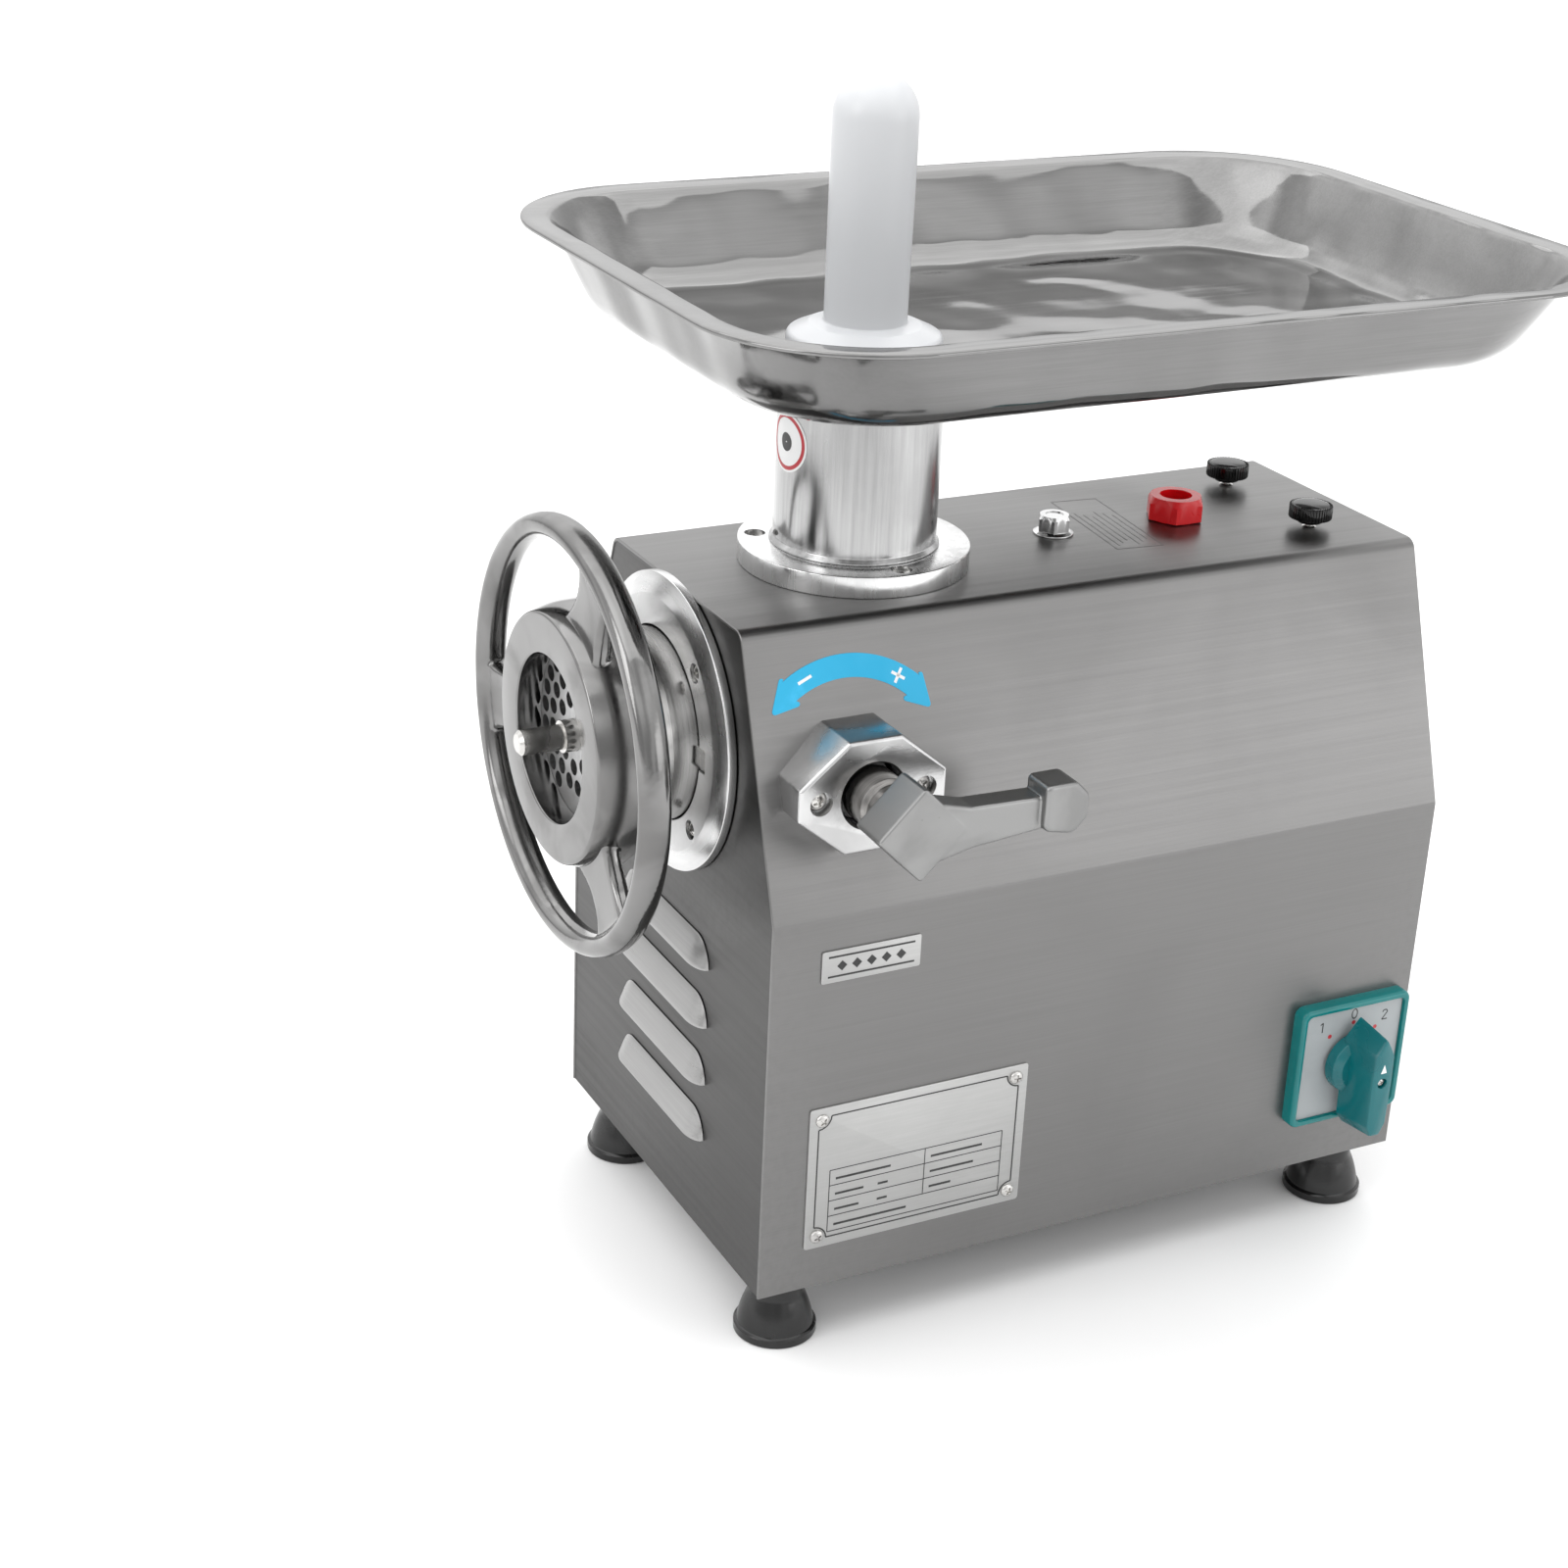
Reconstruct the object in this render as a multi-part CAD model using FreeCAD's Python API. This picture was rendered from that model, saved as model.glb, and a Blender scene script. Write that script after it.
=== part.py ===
import FreeCAD, Part
import math
import os

from FreeCAD import Vector

# Electric meat grinder, millimetres.  While modelling, x runs along the feed screw from the front
# panel (x = 0) to the back, y = 0 is the middle plane, and z = 0 is the underside of the housing.
# export() moves everything so that the origin is on the floor, under the middle of the whole machine.

# driving dimensions: housing
housing_length = 340.0
housing_height = 295.0
top_half_width = 64.0
bottom_half_width = 104.0
bend_height = 180.0
sheet = 1.5
bend_radius = 5.0
foot_height = 32.0
foot_radius = 19.0
foot_neck_radius = 13.5
foot_inset_x = 20.0
foot_inset_y = 21.0
louvre_count = 4
louvre_pitch = 28.5
louvre_length = 88.0
louvre_first_height = 52.5

# driving dimensions: grinding head
shaft_height = 232.0
barrel_radius = 42.0
barrel_front = -42.0
barrel_length = 182.0
barrel_thread_radius = barrel_radius + 5
barrel_thread_length = 22.0
barrel_bore = barrel_radius - 6
barrel_back_wall = 14.0
plate_radius = barrel_radius - 1
plate_thickness = 12.0
plate_front = -45.0
plate_hole_radius = 3.6
knife_thickness = 10.0
knife_reach = 26.0
stud_radius = 7.0
stud_tip_radius = 5.5
stud_tip = -71.0
auger_core_front = 13.0
auger_core_back = 19.0
auger_pitch = 34.0
auger_flight = 5.0
journal_radius = 14.0
drive_square = 16.0
drive_length = 20.0

# driving dimensions: ring nut with its handwheel
nut_outer_radius = barrel_thread_radius + 11
nut_front = -57.0
nut_back = -34.0
nut_mouth_radius = 36.5
wheel_plane = -48.0
wheel_radius = 90.0
wheel_section = 5.0
spoke_half_width = 15.0
spoke_thickness = 8.0
spoke_first_angle = 21.0

# driving dimensions: front collar and head seat
collar_radius = barrel_radius + 23.5
collar_face_radius = barrel_radius + 14.2
collar_thickness = 6.5
collar_rim = 3.8
collar_screw_circle = barrel_radius + 8.5
seat_wall = 15.0

# driving dimensions: feed neck, tray and pusher
neck_x = 85.0
neck_radius = 35.5
neck_bore = 31.0
neck_flange_radius = neck_radius + 15
neck_flange_thickness = 9.5
neck_screw_circle = neck_radius + 7.5
tray_floor = 389.0
tray_rim = 430.0
tray_half_length = 211.0
tray_half_width = 150.0
tray_corner = 70.0
tray_lip = 13.0
tray_floor_half_length = 186.0
tray_floor_half_width = 117.0
tray_floor_corner = 44.0
tray_sheet = 1.2
tray_x = 178.0
tray_spigot_depth = 20.0
pusher_radius = 18.0
pusher_collar_radius = 33.5
pusher_collar_thickness = 9.0
pusher_plunger_length = 46.0
pusher_top = 503.5

# driving dimensions: head clamp
clamp_x = 44.0
clamp_front = -103.0
clamp_half_width = 34.0
clamp_half_height = 25.0
clamp_flat_half_width = 12.0
clamp_flat_half_height = 7.0
clamp_bore = 13.0
clamp_screw_radius = 9.5
clamp_pad_radius = 8.0
clamp_pad_length = 20.0
clamp_recess = 11.0
lever_hub_side = 29.0
lever_hub_front = -145.0
lever_hub_thickness = 20.0
lever_reach = 63.0
lever_rise = 2.5
lever_knob_radius = 11.5
lever_knob_front = -149.0

# driving dimensions: switch, plates and top fittings
switch_x = 305.0
switch_z = 56.0
switch_half_side = 31.0
switch_bezel_depth = 7.0
dial_half_side = 26.0
knob_disc_radius = 14.0
knob_grip_length = 46.0
knob_grip_width = 12.0
knob_grip_depth = 20.0
spindle_radius = 4.0
rating_plate_x = 75.0
rating_plate_z = 55.0
rating_plate_length = 108.0
rating_plate_height = 70.0
badge_x = 46.5
badge_z = 157.5
badge_length = 47.0
badge_height = 15.0
label_thickness = 0.4
arrow_radius = 47.5
arrow_band = 10.0
arrow_half_angle = 37.0
arrow_middle = 85.0
arrow_head_half_width = 8.0
arrow_head_angle = 16.0
plug_x = 252.0
plug_flats = 24.0
bolt_x = 187.0
bolt_flats = 13.0
thumb_x = 304.0
thumb_y = 33.0
thumb_radius = 9.5
thumb_thickness = 8.0

# driving dimensions: gear case, gears and motor
case_front = 170.0
case_back = 276.0
case_wall = 6.0
case_half_width = 62.0
case_bottom = 84.0
output_teeth = 42
output_pinion_teeth = 16
output_module = 2.5
motor_gear_teeth = 44
motor_pinion_teeth = 14
motor_module = 1.75
output_gear_width = 16.0
motor_gear_width = 10.0
output_shaft_radius = 20.0
output_journal_radius = 12.0
mid_shaft_radius = 9.0
motor_shaft_radius = 8.0
motor_radius = 64.0
rotor_radius = 36.0
motor_front = 46.0
motor_bell_length = 14.0
fan_radius = 55.0
fan_front = 28.0
fan_blades = 8
capacitor_radius = 18.0
gland_y = 60.0
gland_z = 45.0
gland_radius = 10.0
gland_bore = 4.0

# clearances between pieces
running = 0.08      # shaft in its bearing
sliding = 0.3       # faces that slide past each other
screw_gap = 0.2     # screw in its hole

x_axis = Vector(1, 0, 0)
y_axis = Vector(0, 1, 0)
z_axis = Vector(0, 0, 1)

barrel_back = barrel_front + barrel_length
seat_bore = barrel_radius + sliding
seat_radius = seat_bore + seat_wall
shell_top_inside = housing_height - sheet
slope_run = bottom_half_width - top_half_width
slope_angle = math.degrees(math.atan2(slope_run, housing_height - bend_height))
output_centres = output_module * (output_teeth + output_pinion_teeth) / 2
motor_centres = motor_module * (motor_gear_teeth + motor_pinion_teeth) / 2
mid_height = shaft_height - output_centres
motor_height = mid_height - motor_centres
clamp_pad_face = -(barrel_radius + sliding)
clamp_pad_back = clamp_pad_face - clamp_pad_length
tray_back = tray_x + tray_half_length
origin_x = (stud_tip + tray_back) / 2

nodes = {}


def at(x, y, z):
    return Vector(x, y, z)


def box(low, high):
    return Part.makeBox(high[0] - low[0], high[1] - low[1], high[2] - low[2], Vector(*low))


def rod(start, axis, radius, length):
    return Part.makeCylinder(radius, length, start, axis)


def tube(start, axis, outer, inner, length):
    return rod(start, axis, outer, length).cut(rod(start, axis, inner, length))


def cone(start, axis, first_radius, last_radius, length):
    return Part.makeCone(first_radius, last_radius, length, start, axis)


def prism(points, depth):
    wire = Part.makePolygon(points + [points[0]])
    return Part.Face(wire).extrude(depth)


def hexagon(centre, axis, flats, height):
    across = flats / math.sqrt(3)
    points = []
    for corner in range(6):
        angle = math.radians(60 * corner)
        side = Vector(across * math.cos(angle), across * math.sin(angle), 0)
        points.append(side)
    block = prism(points, Vector(0, 0, height))
    block.Placement = FreeCAD.Placement(centre, FreeCAD.Rotation(z_axis, axis))
    return block


def turned(profile, start, axis):
    """Solid of revolution; profile is a list of (distance along the axis, radius)."""
    points = [Vector(radius, 0, distance) for distance, radius in profile]
    face = Part.Face(Part.makePolygon(points + [points[0]]))
    solid = face.revolve(Vector(0, 0, 0), z_axis, 360)
    solid.Placement = FreeCAD.Placement(start, FreeCAD.Rotation(z_axis, axis))
    return solid


def ring_of(count, first_angle=0.0):
    return [math.radians(first_angle + 360.0 * step / count) for step in range(count)]


def around_shaft(radius, angle, x=0.0):
    """Point at an angle from straight up towards the operator's side, about the feed screw."""
    return at(x, -radius * math.sin(angle), shaft_height + radius * math.cos(angle))


def round_rect(centre_x, height, half_length, half_width, corner):
    """Closed wire of a rectangle with round corners, lying flat."""
    edges = []
    signs = [(1, 1), (-1, 1), (-1, -1), (1, -1)]
    arcs = []
    for quarter, (sign_x, sign_y) in enumerate(signs):
        middle = at(centre_x + sign_x * (half_length - corner), sign_y * (half_width - corner), height)
        turns = [math.radians(90 * quarter + step) for step in (0, 45, 90)]
        arcs.append([middle + Vector(corner * math.cos(t), corner * math.sin(t), 0) for t in turns])
    for index, arc in enumerate(arcs):
        following = arcs[(index + 1) % 4]
        edges.append(Part.Arc(*arc).toShape())
        edges.append(Part.LineSegment(arc[2], following[0]).toShape())
    return Part.Wire(edges)


def screw_at(head_centre, axis, head_radius, head_height, shank_radius, shank_length):
    """Round-head screw; axis points from the head to the tip, the head stands behind head_centre."""
    head = rod(head_centre - axis * head_height, axis, head_radius, head_height)
    slot_long = box((-head_radius, -0.6, 0), (head_radius, 0.6, head_height / 2))
    slot_cross = box((-0.6, -head_radius, 0), (0.6, head_radius, head_height / 2))
    recess = slot_long.fuse(slot_cross).common(rod(at(0, 0, 0), z_axis, head_radius * 0.6, head_height))
    recess.Placement = FreeCAD.Placement(head_centre - axis * head_height, FreeCAD.Rotation(z_axis, axis))
    return head.fuse(rod(head_centre, axis, shank_radius, shank_length)).cut(recess).removeSplitter()


def spur_gear(teeth, module, width, start, tooth_angle, bore):
    """Involute gear on an axis along x; one tooth points tooth_angle from straight up towards -y."""
    pitch_radius = module * teeth / 2
    base_radius = pitch_radius * math.cos(math.radians(20))
    tip_radius = pitch_radius + 0.8 * module
    root_radius = pitch_radius - 1.1 * module
    backlash = 0.12

    def roll(radius):
        angle = math.acos(min(1.0, base_radius / radius))
        return math.tan(angle) - angle

    half_tooth = math.pi / (2 * teeth) - backlash / (2 * pitch_radius)
    flank = [max(base_radius, root_radius) + (tip_radius - max(base_radius, root_radius)) * step / 5
             for step in range(6)]
    outline = []
    for tooth in range(teeth):
        centre = math.radians(tooth_angle) + 2 * math.pi * tooth / teeth
        side = [half_tooth + roll(pitch_radius) - roll(radius) for radius in flank]
        rising = [(root_radius, -side[0])] + [(radius, -turn) for radius, turn in zip(flank, side)]
        falling = [(radius, -turn) for radius, turn in reversed(rising)]
        for radius, turn in rising + falling:
            angle = centre + turn
            outline.append(start + Vector(0, -radius * math.sin(angle), radius * math.cos(angle)))
    blank = prism(outline, x_axis * width)
    return blank.cut(rod(start - x_axis, x_axis, bore, width + 2))


def shell_profile(inset):
    """Cross-section of the bent cover as a solid outline; inset shrinks it by a sheet thickness."""
    side_lift = inset * math.tan(math.radians(slope_angle) / 2)
    top_lift = inset * math.tan(math.radians(90 - slope_angle) / 2)
    low = bottom_half_width - inset
    bend = bend_height - side_lift
    top = top_half_width - top_lift
    height = housing_height - inset
    return [at(0, -low, 0), at(0, -low, bend), at(0, -top, height),
            at(0, top, height), at(0, low, bend), at(0, low, 0)]


def housing_block(inset, start, length):
    block = prism(shell_profile(inset), x_axis * length)
    corners = [edge for edge in block.Edges
               if abs(edge.BoundBox.XLength - length) < 0.01 and edge.BoundBox.ZMax > bend_height / 2]
    block = block.makeFillet(max(bend_radius - inset, 1.0), corners)
    block.translate(x_axis * start)
    return block


def slope_placement(x, along):
    """Placement on the operator's sloping side: local x along the housing, local y up the slope."""
    up = Vector(0, math.sin(math.radians(slope_angle)), math.cos(math.radians(slope_angle)))
    foot = at(x, -bottom_half_width, bend_height)
    normal = x_axis.cross(up)
    rotation = FreeCAD.Rotation(x_axis, up, normal, "ZXY")
    return FreeCAD.Placement(foot + up * along, rotation)


# ---- housing ----
outer_block = housing_block(0, 0, housing_length)
inner_block = housing_block(sheet, -1, housing_length + 2)
body_shell = outer_block.cut(inner_block)
louvre_heights = [louvre_first_height + louvre_pitch * step for step in range(louvre_count)]

front_panel = housing_block(sheet, 0, sheet)
front_panel = front_panel.cut(rod(at(-1, 0, shaft_height), x_axis, seat_bore, sheet + 2))
for height in louvre_heights:
    half = louvre_length / 2
    hood = [at(0.2, 0, height - 6), at(-4.0, 0, height - 5), at(-4.0, 0, height - 3), at(0.2, 0, height + 7)]
    louvre = prism([point - y_axis * half for point in hood], y_axis * louvre_length)
    inside = [at(sheet + 1, 0, height - 5), at(0, 0, height - 5), at(-2.8, 0, height - 4.0),
              at(-2.8, 0, height - 3), at(0, 0, height + 3), at(sheet + 1, 0, height + 3)]
    hollow = prism([point - y_axis * (half - 2) for point in inside], y_axis * (louvre_length - 4))
    mouth = box((-5, -half + 2, height - 7), (-1.0, half - 2, height - 3.6))
    front_panel = front_panel.fuse(louvre).cut(hollow).cut(mouth)

rear_panel = housing_block(sheet, housing_length - sheet, sheet)
for step in range(8):
    slot_z = 120 + 10 * step
    rear_panel = rear_panel.cut(box((housing_length - 5, -45, slot_z), (housing_length + 5, 45, slot_z + 4)))
rear_panel = rear_panel.cut(rod(at(housing_length - 5, gland_y, gland_z), x_axis, gland_radius - 3, 10))

base_plate = box((sheet, -bottom_half_width + sheet, 0),
                 (housing_length - sheet, bottom_half_width - sheet, 2))
foot_places = [(x, y) for x in (foot_inset_x, housing_length - foot_inset_x)
               for y in (-bottom_half_width + foot_inset_y, bottom_half_width - foot_inset_y)]
feet = []
foot_screws = []
for x, y in foot_places:
    foot = turned([(0, 0), (0, foot_radius - 1), (1, foot_radius), (5, foot_radius),
                   (7, foot_radius - 2), (foot_height - 8, foot_neck_radius),
                   (foot_height, foot_neck_radius), (foot_height, 0)], at(x, y, -foot_height), z_axis)
    feet.append(foot.cut(rod(at(x, y, -foot_height / 2), z_axis, 4, foot_height)))
    base_plate = base_plate.cut(rod(at(x, y, -1), z_axis, 4, 5))
    foot_screws.append(screw_at(at(x, y, 2), -z_axis, 7, 4, 4, foot_height / 2 + 2))
nodes["feet"] = Part.makeCompound(feet)
nodes["foot_screws"] = Part.makeCompound(foot_screws)

cable_gland = tube(at(housing_length, gland_y, gland_z), x_axis, gland_radius, gland_bore, 12)
cable_gland = cable_gland.fuse(tube(at(housing_length - sheet - 8, gland_y, gland_z), x_axis,
                                    gland_radius - 3, gland_bore, sheet + 8))
cable_gland = cable_gland.fuse(tube(at(housing_length - sheet - 8, gland_y, gland_z), x_axis,
                                    gland_radius, gland_radius - 3, 8))
nodes["cable_gland"] = cable_gland.removeSplitter()

panel_screws = []
for y, z in ((-90, 20), (90, 20), (-90, 165), (90, 165), (-55, 280), (55, 280)):
    rear_panel = rear_panel.cut(rod(at(housing_length - 5, y, z), x_axis, 2, 10))
    panel_screws.append(screw_at(at(housing_length, y, z), -x_axis, 4, 2, 2, 8))
nodes["panel_screws"] = Part.makeCompound(panel_screws)
nodes["rear_panel"] = rear_panel

# ---- front collar and the casting that holds the grinding head ----
head_centre = at(0, 0, shaft_height)
front_collar = turned([(0, 0), (0, collar_face_radius), (collar_thickness - collar_rim, collar_radius),
                       (collar_thickness, collar_radius), (collar_thickness, 0)],
                      at(-collar_thickness, 0, shaft_height), x_axis)
front_collar = front_collar.cut(rod(at(-collar_thickness - 1, 0, shaft_height), x_axis,
                                    seat_bore, collar_thickness + 2))
key_half = 5.0
key_top = barrel_radius + 5.0
front_collar = front_collar.cut(box((-collar_thickness - 1, -key_top - 1, shaft_height - key_half - sliding),
                                    (-0.8, 0, shaft_height + key_half + sliding)))
collar_screws = []
for angle in ring_of(4, 45):
    place = around_shaft(collar_screw_circle, angle, -collar_thickness)
    front_collar = front_collar.cut(rod(place, x_axis, 3, collar_thickness))
    front_collar = front_collar.cut(rod(place - x_axis, x_axis, 4.2, 4))
    front_panel = front_panel.cut(rod(around_shaft(collar_screw_circle, angle, -1), x_axis, 3, 4))
    collar_screws.append(screw_at(place + x_axis * 3, x_axis, 4.2 - screw_gap, 2, 2.9, 10))
nodes["front_collar"] = front_collar
nodes["collar_screws"] = Part.makeCompound(collar_screws)

head_seat = rod(at(sheet, 0, shaft_height), x_axis, seat_radius, case_front - sheet)
head_seat = head_seat.fuse(rod(at(neck_x, 0, shaft_height), z_axis, neck_screw_circle + 5,
                               shell_top_inside - shaft_height))
boss_end = clamp_pad_back
head_seat = head_seat.fuse(rod(at(clamp_x, 0, shaft_height), -y_axis, clamp_bore + 6, -boss_end))
head_seat = head_seat.cut(rod(at(0, 0, shaft_height), x_axis, seat_bore, barrel_back + 1))
head_seat = head_seat.cut(rod(at(barrel_back, 0, shaft_height), x_axis, output_shaft_radius + 2, 40))
head_seat = head_seat.cut(rod(at(neck_x, 0, shaft_height), z_axis, neck_bore, 80))
head_seat = head_seat.cut(rod(at(clamp_x, 0, shaft_height), -y_axis, clamp_pad_radius + sliding, 80))
for angle in ring_of(4, 45):
    head_seat = head_seat.cut(rod(around_shaft(collar_screw_circle, angle, 0), x_axis, 2.9, 8))

# ---- feed neck ----
flange_top = housing_height + neck_flange_thickness
neck_flange = tube(at(neck_x, 0, housing_height), z_axis, neck_flange_radius, neck_radius,
                   neck_flange_thickness)
neck_flange_screws = []
for angle in ring_of(3, -90):
    place = at(neck_x + neck_screw_circle * math.cos(angle), neck_screw_circle * math.sin(angle), flange_top)
    neck_flange = neck_flange.cut(rod(place - z_axis * neck_flange_thickness, z_axis, 3, 20))
    neck_flange = neck_flange.cut(rod(place - z_axis * 4, z_axis, 4.6, 10))
    body_shell = body_shell.cut(rod(place - z_axis * 20, z_axis, 3, 20))
    head_seat = head_seat.cut(rod(place - z_axis * 20, z_axis, 2.9, 20))
    neck_flange_screws.append(screw_at(place - z_axis * 4, -z_axis, 4.4, 3, 2.9, 10))
nodes["head_seat"] = head_seat
nodes["neck_flange"] = neck_flange
nodes["neck_flange_screws"] = Part.makeCompound(neck_flange_screws)
body_shell = body_shell.cut(rod(at(neck_x, 0, housing_height - 10), z_axis, neck_radius, 20))
feed_neck = tube(at(neck_x, 0, shell_top_inside), z_axis, neck_radius, neck_bore,
                 tray_floor - shell_top_inside)
feed_neck = feed_neck.fuse(turned([(0, neck_radius - 1), (0, neck_radius + 3), (2, neck_radius + 3),
                                   (6, neck_radius), (6, neck_radius - 1)],
                                  at(neck_x, 0, flange_top), z_axis))
nodes["feed_neck"] = feed_neck.removeSplitter()
label_angle = math.radians(-172)
label_height = tray_floor - 35
label_direction = Vector(math.cos(label_angle), math.sin(label_angle), 0)
neck_label = rod(at(neck_x, 0, label_height), label_direction, 14, neck_radius + 5)
neck_label = neck_label.common(tube(at(neck_x, 0, label_height - 20), z_axis,
                                    neck_radius + label_thickness, neck_radius, 40))
nodes["neck_label"] = neck_label

# ---- grinding head ----
plate_back = plate_front + plate_thickness
grinding_head = turned([(0, 0), (0, barrel_thread_radius), (barrel_thread_length, barrel_thread_radius),
                        (barrel_thread_length, barrel_radius), (barrel_length, barrel_radius),
                        (barrel_length, 0)], at(barrel_front, 0, shaft_height), x_axis)
grinding_head = grinding_head.cut(rod(at(barrel_front - 1, 0, shaft_height), x_axis, plate_radius + running,
                                      plate_back - barrel_front + 1))
grinding_head = grinding_head.cut(rod(at(plate_back - 1, 0, shaft_height), x_axis, barrel_bore,
                                      barrel_back - barrel_back_wall - plate_back + 1))
grinding_head = grinding_head.cut(rod(at(barrel_back - 30, 0, shaft_height), x_axis,
                                      journal_radius + running, 40))
grinding_head = grinding_head.cut(rod(at(neck_x, 0, shaft_height), z_axis, neck_bore - 1, 80))
grinding_head = grinding_head.fuse(box((-collar_thickness + 1, -key_top, shaft_height - key_half),
                                       (-1.5, -barrel_radius + 1, shaft_height + key_half)))
grinding_head = grinding_head.cut(rod(around_shaft(plate_radius - 1.5, math.pi, barrel_front - 1),
                                      x_axis, 2.5, 9))
nodes["grinding_head"] = grinding_head.removeSplitter()
plate_pin = rod(around_shaft(plate_radius - 1.5, math.pi, plate_front + 1), x_axis, 2.5, 10)
nodes["plate_pin"] = plate_pin

grinding_plate = rod(at(plate_front, 0, shaft_height), x_axis, plate_radius, plate_thickness)
grinding_plate = grinding_plate.cut(rod(at(plate_front - 1, 0, shaft_height), x_axis,
                                        stud_radius + running, plate_thickness + 2))
grinding_plate = grinding_plate.cut(box((plate_front - 1, -2.5 - sliding, shaft_height - plate_radius - 1),
                                        (plate_back + 1, 2.5 + sliding,
                                         shaft_height - plate_radius + 4 + sliding)))
hole_rings = [(15.0, 9), (23.5, 16), (32.0, 23)]
holes = []
for radius, count in hole_rings:
    for angle in ring_of(count, 180.0 / count):
        keep_clear = around_shaft(radius, angle)
        if keep_clear.z > shaft_height - plate_radius + 8 + plate_hole_radius or radius < 30:
            holes.append(rod(around_shaft(radius, angle, plate_front - 1), x_axis, plate_hole_radius,
                             plate_thickness + 2))
grinding_plate = grinding_plate.cut(Part.makeCompound(holes))
nodes["grinding_plate"] = grinding_plate

knife_front = plate_back
knife_back = knife_front + knife_thickness
knife = rod(at(knife_front, 0, shaft_height), x_axis, 15, knife_thickness)
for angle in ring_of(4):
    root = around_shaft(8, angle, knife_front)
    outward = around_shaft(1, angle) - head_centre
    sideways = outward.cross(x_axis)
    blade = [root - sideways * 7, root + outward * knife_reach - sideways * 6, root + outward * knife_reach + sideways * 4,
             root + sideways * 7]
    knife = knife.fuse(prism(blade, x_axis * knife_thickness))
knife_square = box((knife_front - 1, -9.5, shaft_height - 9.5), (knife_back + 1, 9.5, shaft_height + 9.5))
nodes["knife"] = knife.cut(knife_square).removeSplitter()

# ---- feed screw ----
auger_start = knife_back
auger_end = barrel_back - barrel_back_wall
auger_radius = barrel_bore - 0.8
screw_length = auger_end - auger_start - 4
auger = cone(at(auger_start, 0, shaft_height), x_axis, auger_core_front, auger_core_back,
             auger_end - auger_start - sliding)
helix = Part.makeHelix(auger_pitch, screw_length - auger_flight - 2, auger_core_front - 2)
flight_middle = auger_flight / 2 + 1
section_points = [at(auger_core_front - 4, 0, -auger_flight / 2), at(auger_radius, 0, -auger_flight / 2 + 1),
                  at(auger_radius, 0, auger_flight / 2 - 1), at(auger_core_front - 4, 0, auger_flight / 2)]
section = Part.makePolygon(section_points + [section_points[0]])
flight = Part.Wire(helix.Edges).makePipeShell([section], True, True)
flight.Placement = FreeCAD.Placement(at(auger_start + flight_middle, 0, shaft_height),
                                     FreeCAD.Rotation(z_axis, x_axis))
auger = auger.fuse(flight)
tail_start = barrel_back + 1.5
auger = auger.fuse(rod(at(auger_end - sliding - 1, 0, shaft_height), x_axis, journal_radius,
                       tail_start - auger_end + sliding + 1))
half_square = drive_square / 2
auger = auger.fuse(box((tail_start - 1, -half_square, shaft_height - half_square),
                       (tail_start + drive_length, half_square, shaft_height + half_square)))
auger = auger.fuse(box((knife_front, -9.4, shaft_height - 9.4), (auger_start + 2, 9.4, shaft_height + 9.4)))
stud_step = plate_front - 6
auger = auger.fuse(rod(at(stud_step, 0, shaft_height), x_axis, stud_radius, knife_front - stud_step + 1))
auger = auger.fuse(turned([(0, 0), (0, stud_tip_radius - 1.5), (1.5, stud_tip_radius),
                           (stud_step - stud_tip + 1, stud_tip_radius), (stud_step - stud_tip + 1, 0)],
                          at(stud_tip, 0, shaft_height), x_axis))
nodes["auger"] = auger.removeSplitter()

# ---- ring nut and handwheel ----
lip_back = plate_front
ring_nut = turned([(0, nut_mouth_radius + 3), (0, nut_outer_radius - 5), (3, nut_outer_radius - 2),
                   (nut_back - nut_front - 8, nut_outer_radius), (nut_back - nut_front, nut_outer_radius - 3),
                   (nut_back - nut_front, barrel_thread_radius + sliding),
                   (barrel_front - nut_front - 2, barrel_thread_radius + sliding),
                   (barrel_front - nut_front - 2, plate_radius + 1),
                   (lip_back - nut_front, plate_radius + 1),
                   (lip_back - nut_front, nut_mouth_radius), (3, nut_mouth_radius)],
                  at(nut_front, 0, shaft_height), x_axis)
rim = Part.makeTorus(wheel_radius, wheel_section, at(wheel_plane, 0, shaft_height), x_axis)
ring_nut = ring_nut.fuse(rim)
spoke_angles = ring_of(3, spoke_first_angle)
for angle in spoke_angles:
    outward = around_shaft(1, angle) - head_centre
    sideways = outward.cross(x_axis)
    front = at(wheel_plane - spoke_thickness / 2, 0, shaft_height)
    flare = spoke_half_width + 11
    spoke = [front + outward * (nut_outer_radius - 8) - sideways * flare,
             front + outward * (nut_outer_radius + 12) - sideways * spoke_half_width,
             front + outward * (wheel_radius - 12) - sideways * spoke_half_width,
             front + outward * (wheel_radius - 3) - sideways * flare,
             front + outward * (wheel_radius - 3) + sideways * flare,
             front + outward * (wheel_radius - 12) + sideways * spoke_half_width,
             front + outward * (nut_outer_radius + 12) + sideways * spoke_half_width,
             front + outward * (nut_outer_radius - 8) + sideways * flare]
    blade = prism(spoke, x_axis * spoke_thickness)
    blade = blade.common(tube(front, x_axis, wheel_radius, nut_outer_radius - 3, spoke_thickness))
    ring_nut = ring_nut.fuse(blade)
nodes["ring_nut"] = ring_nut.removeSplitter()

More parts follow.
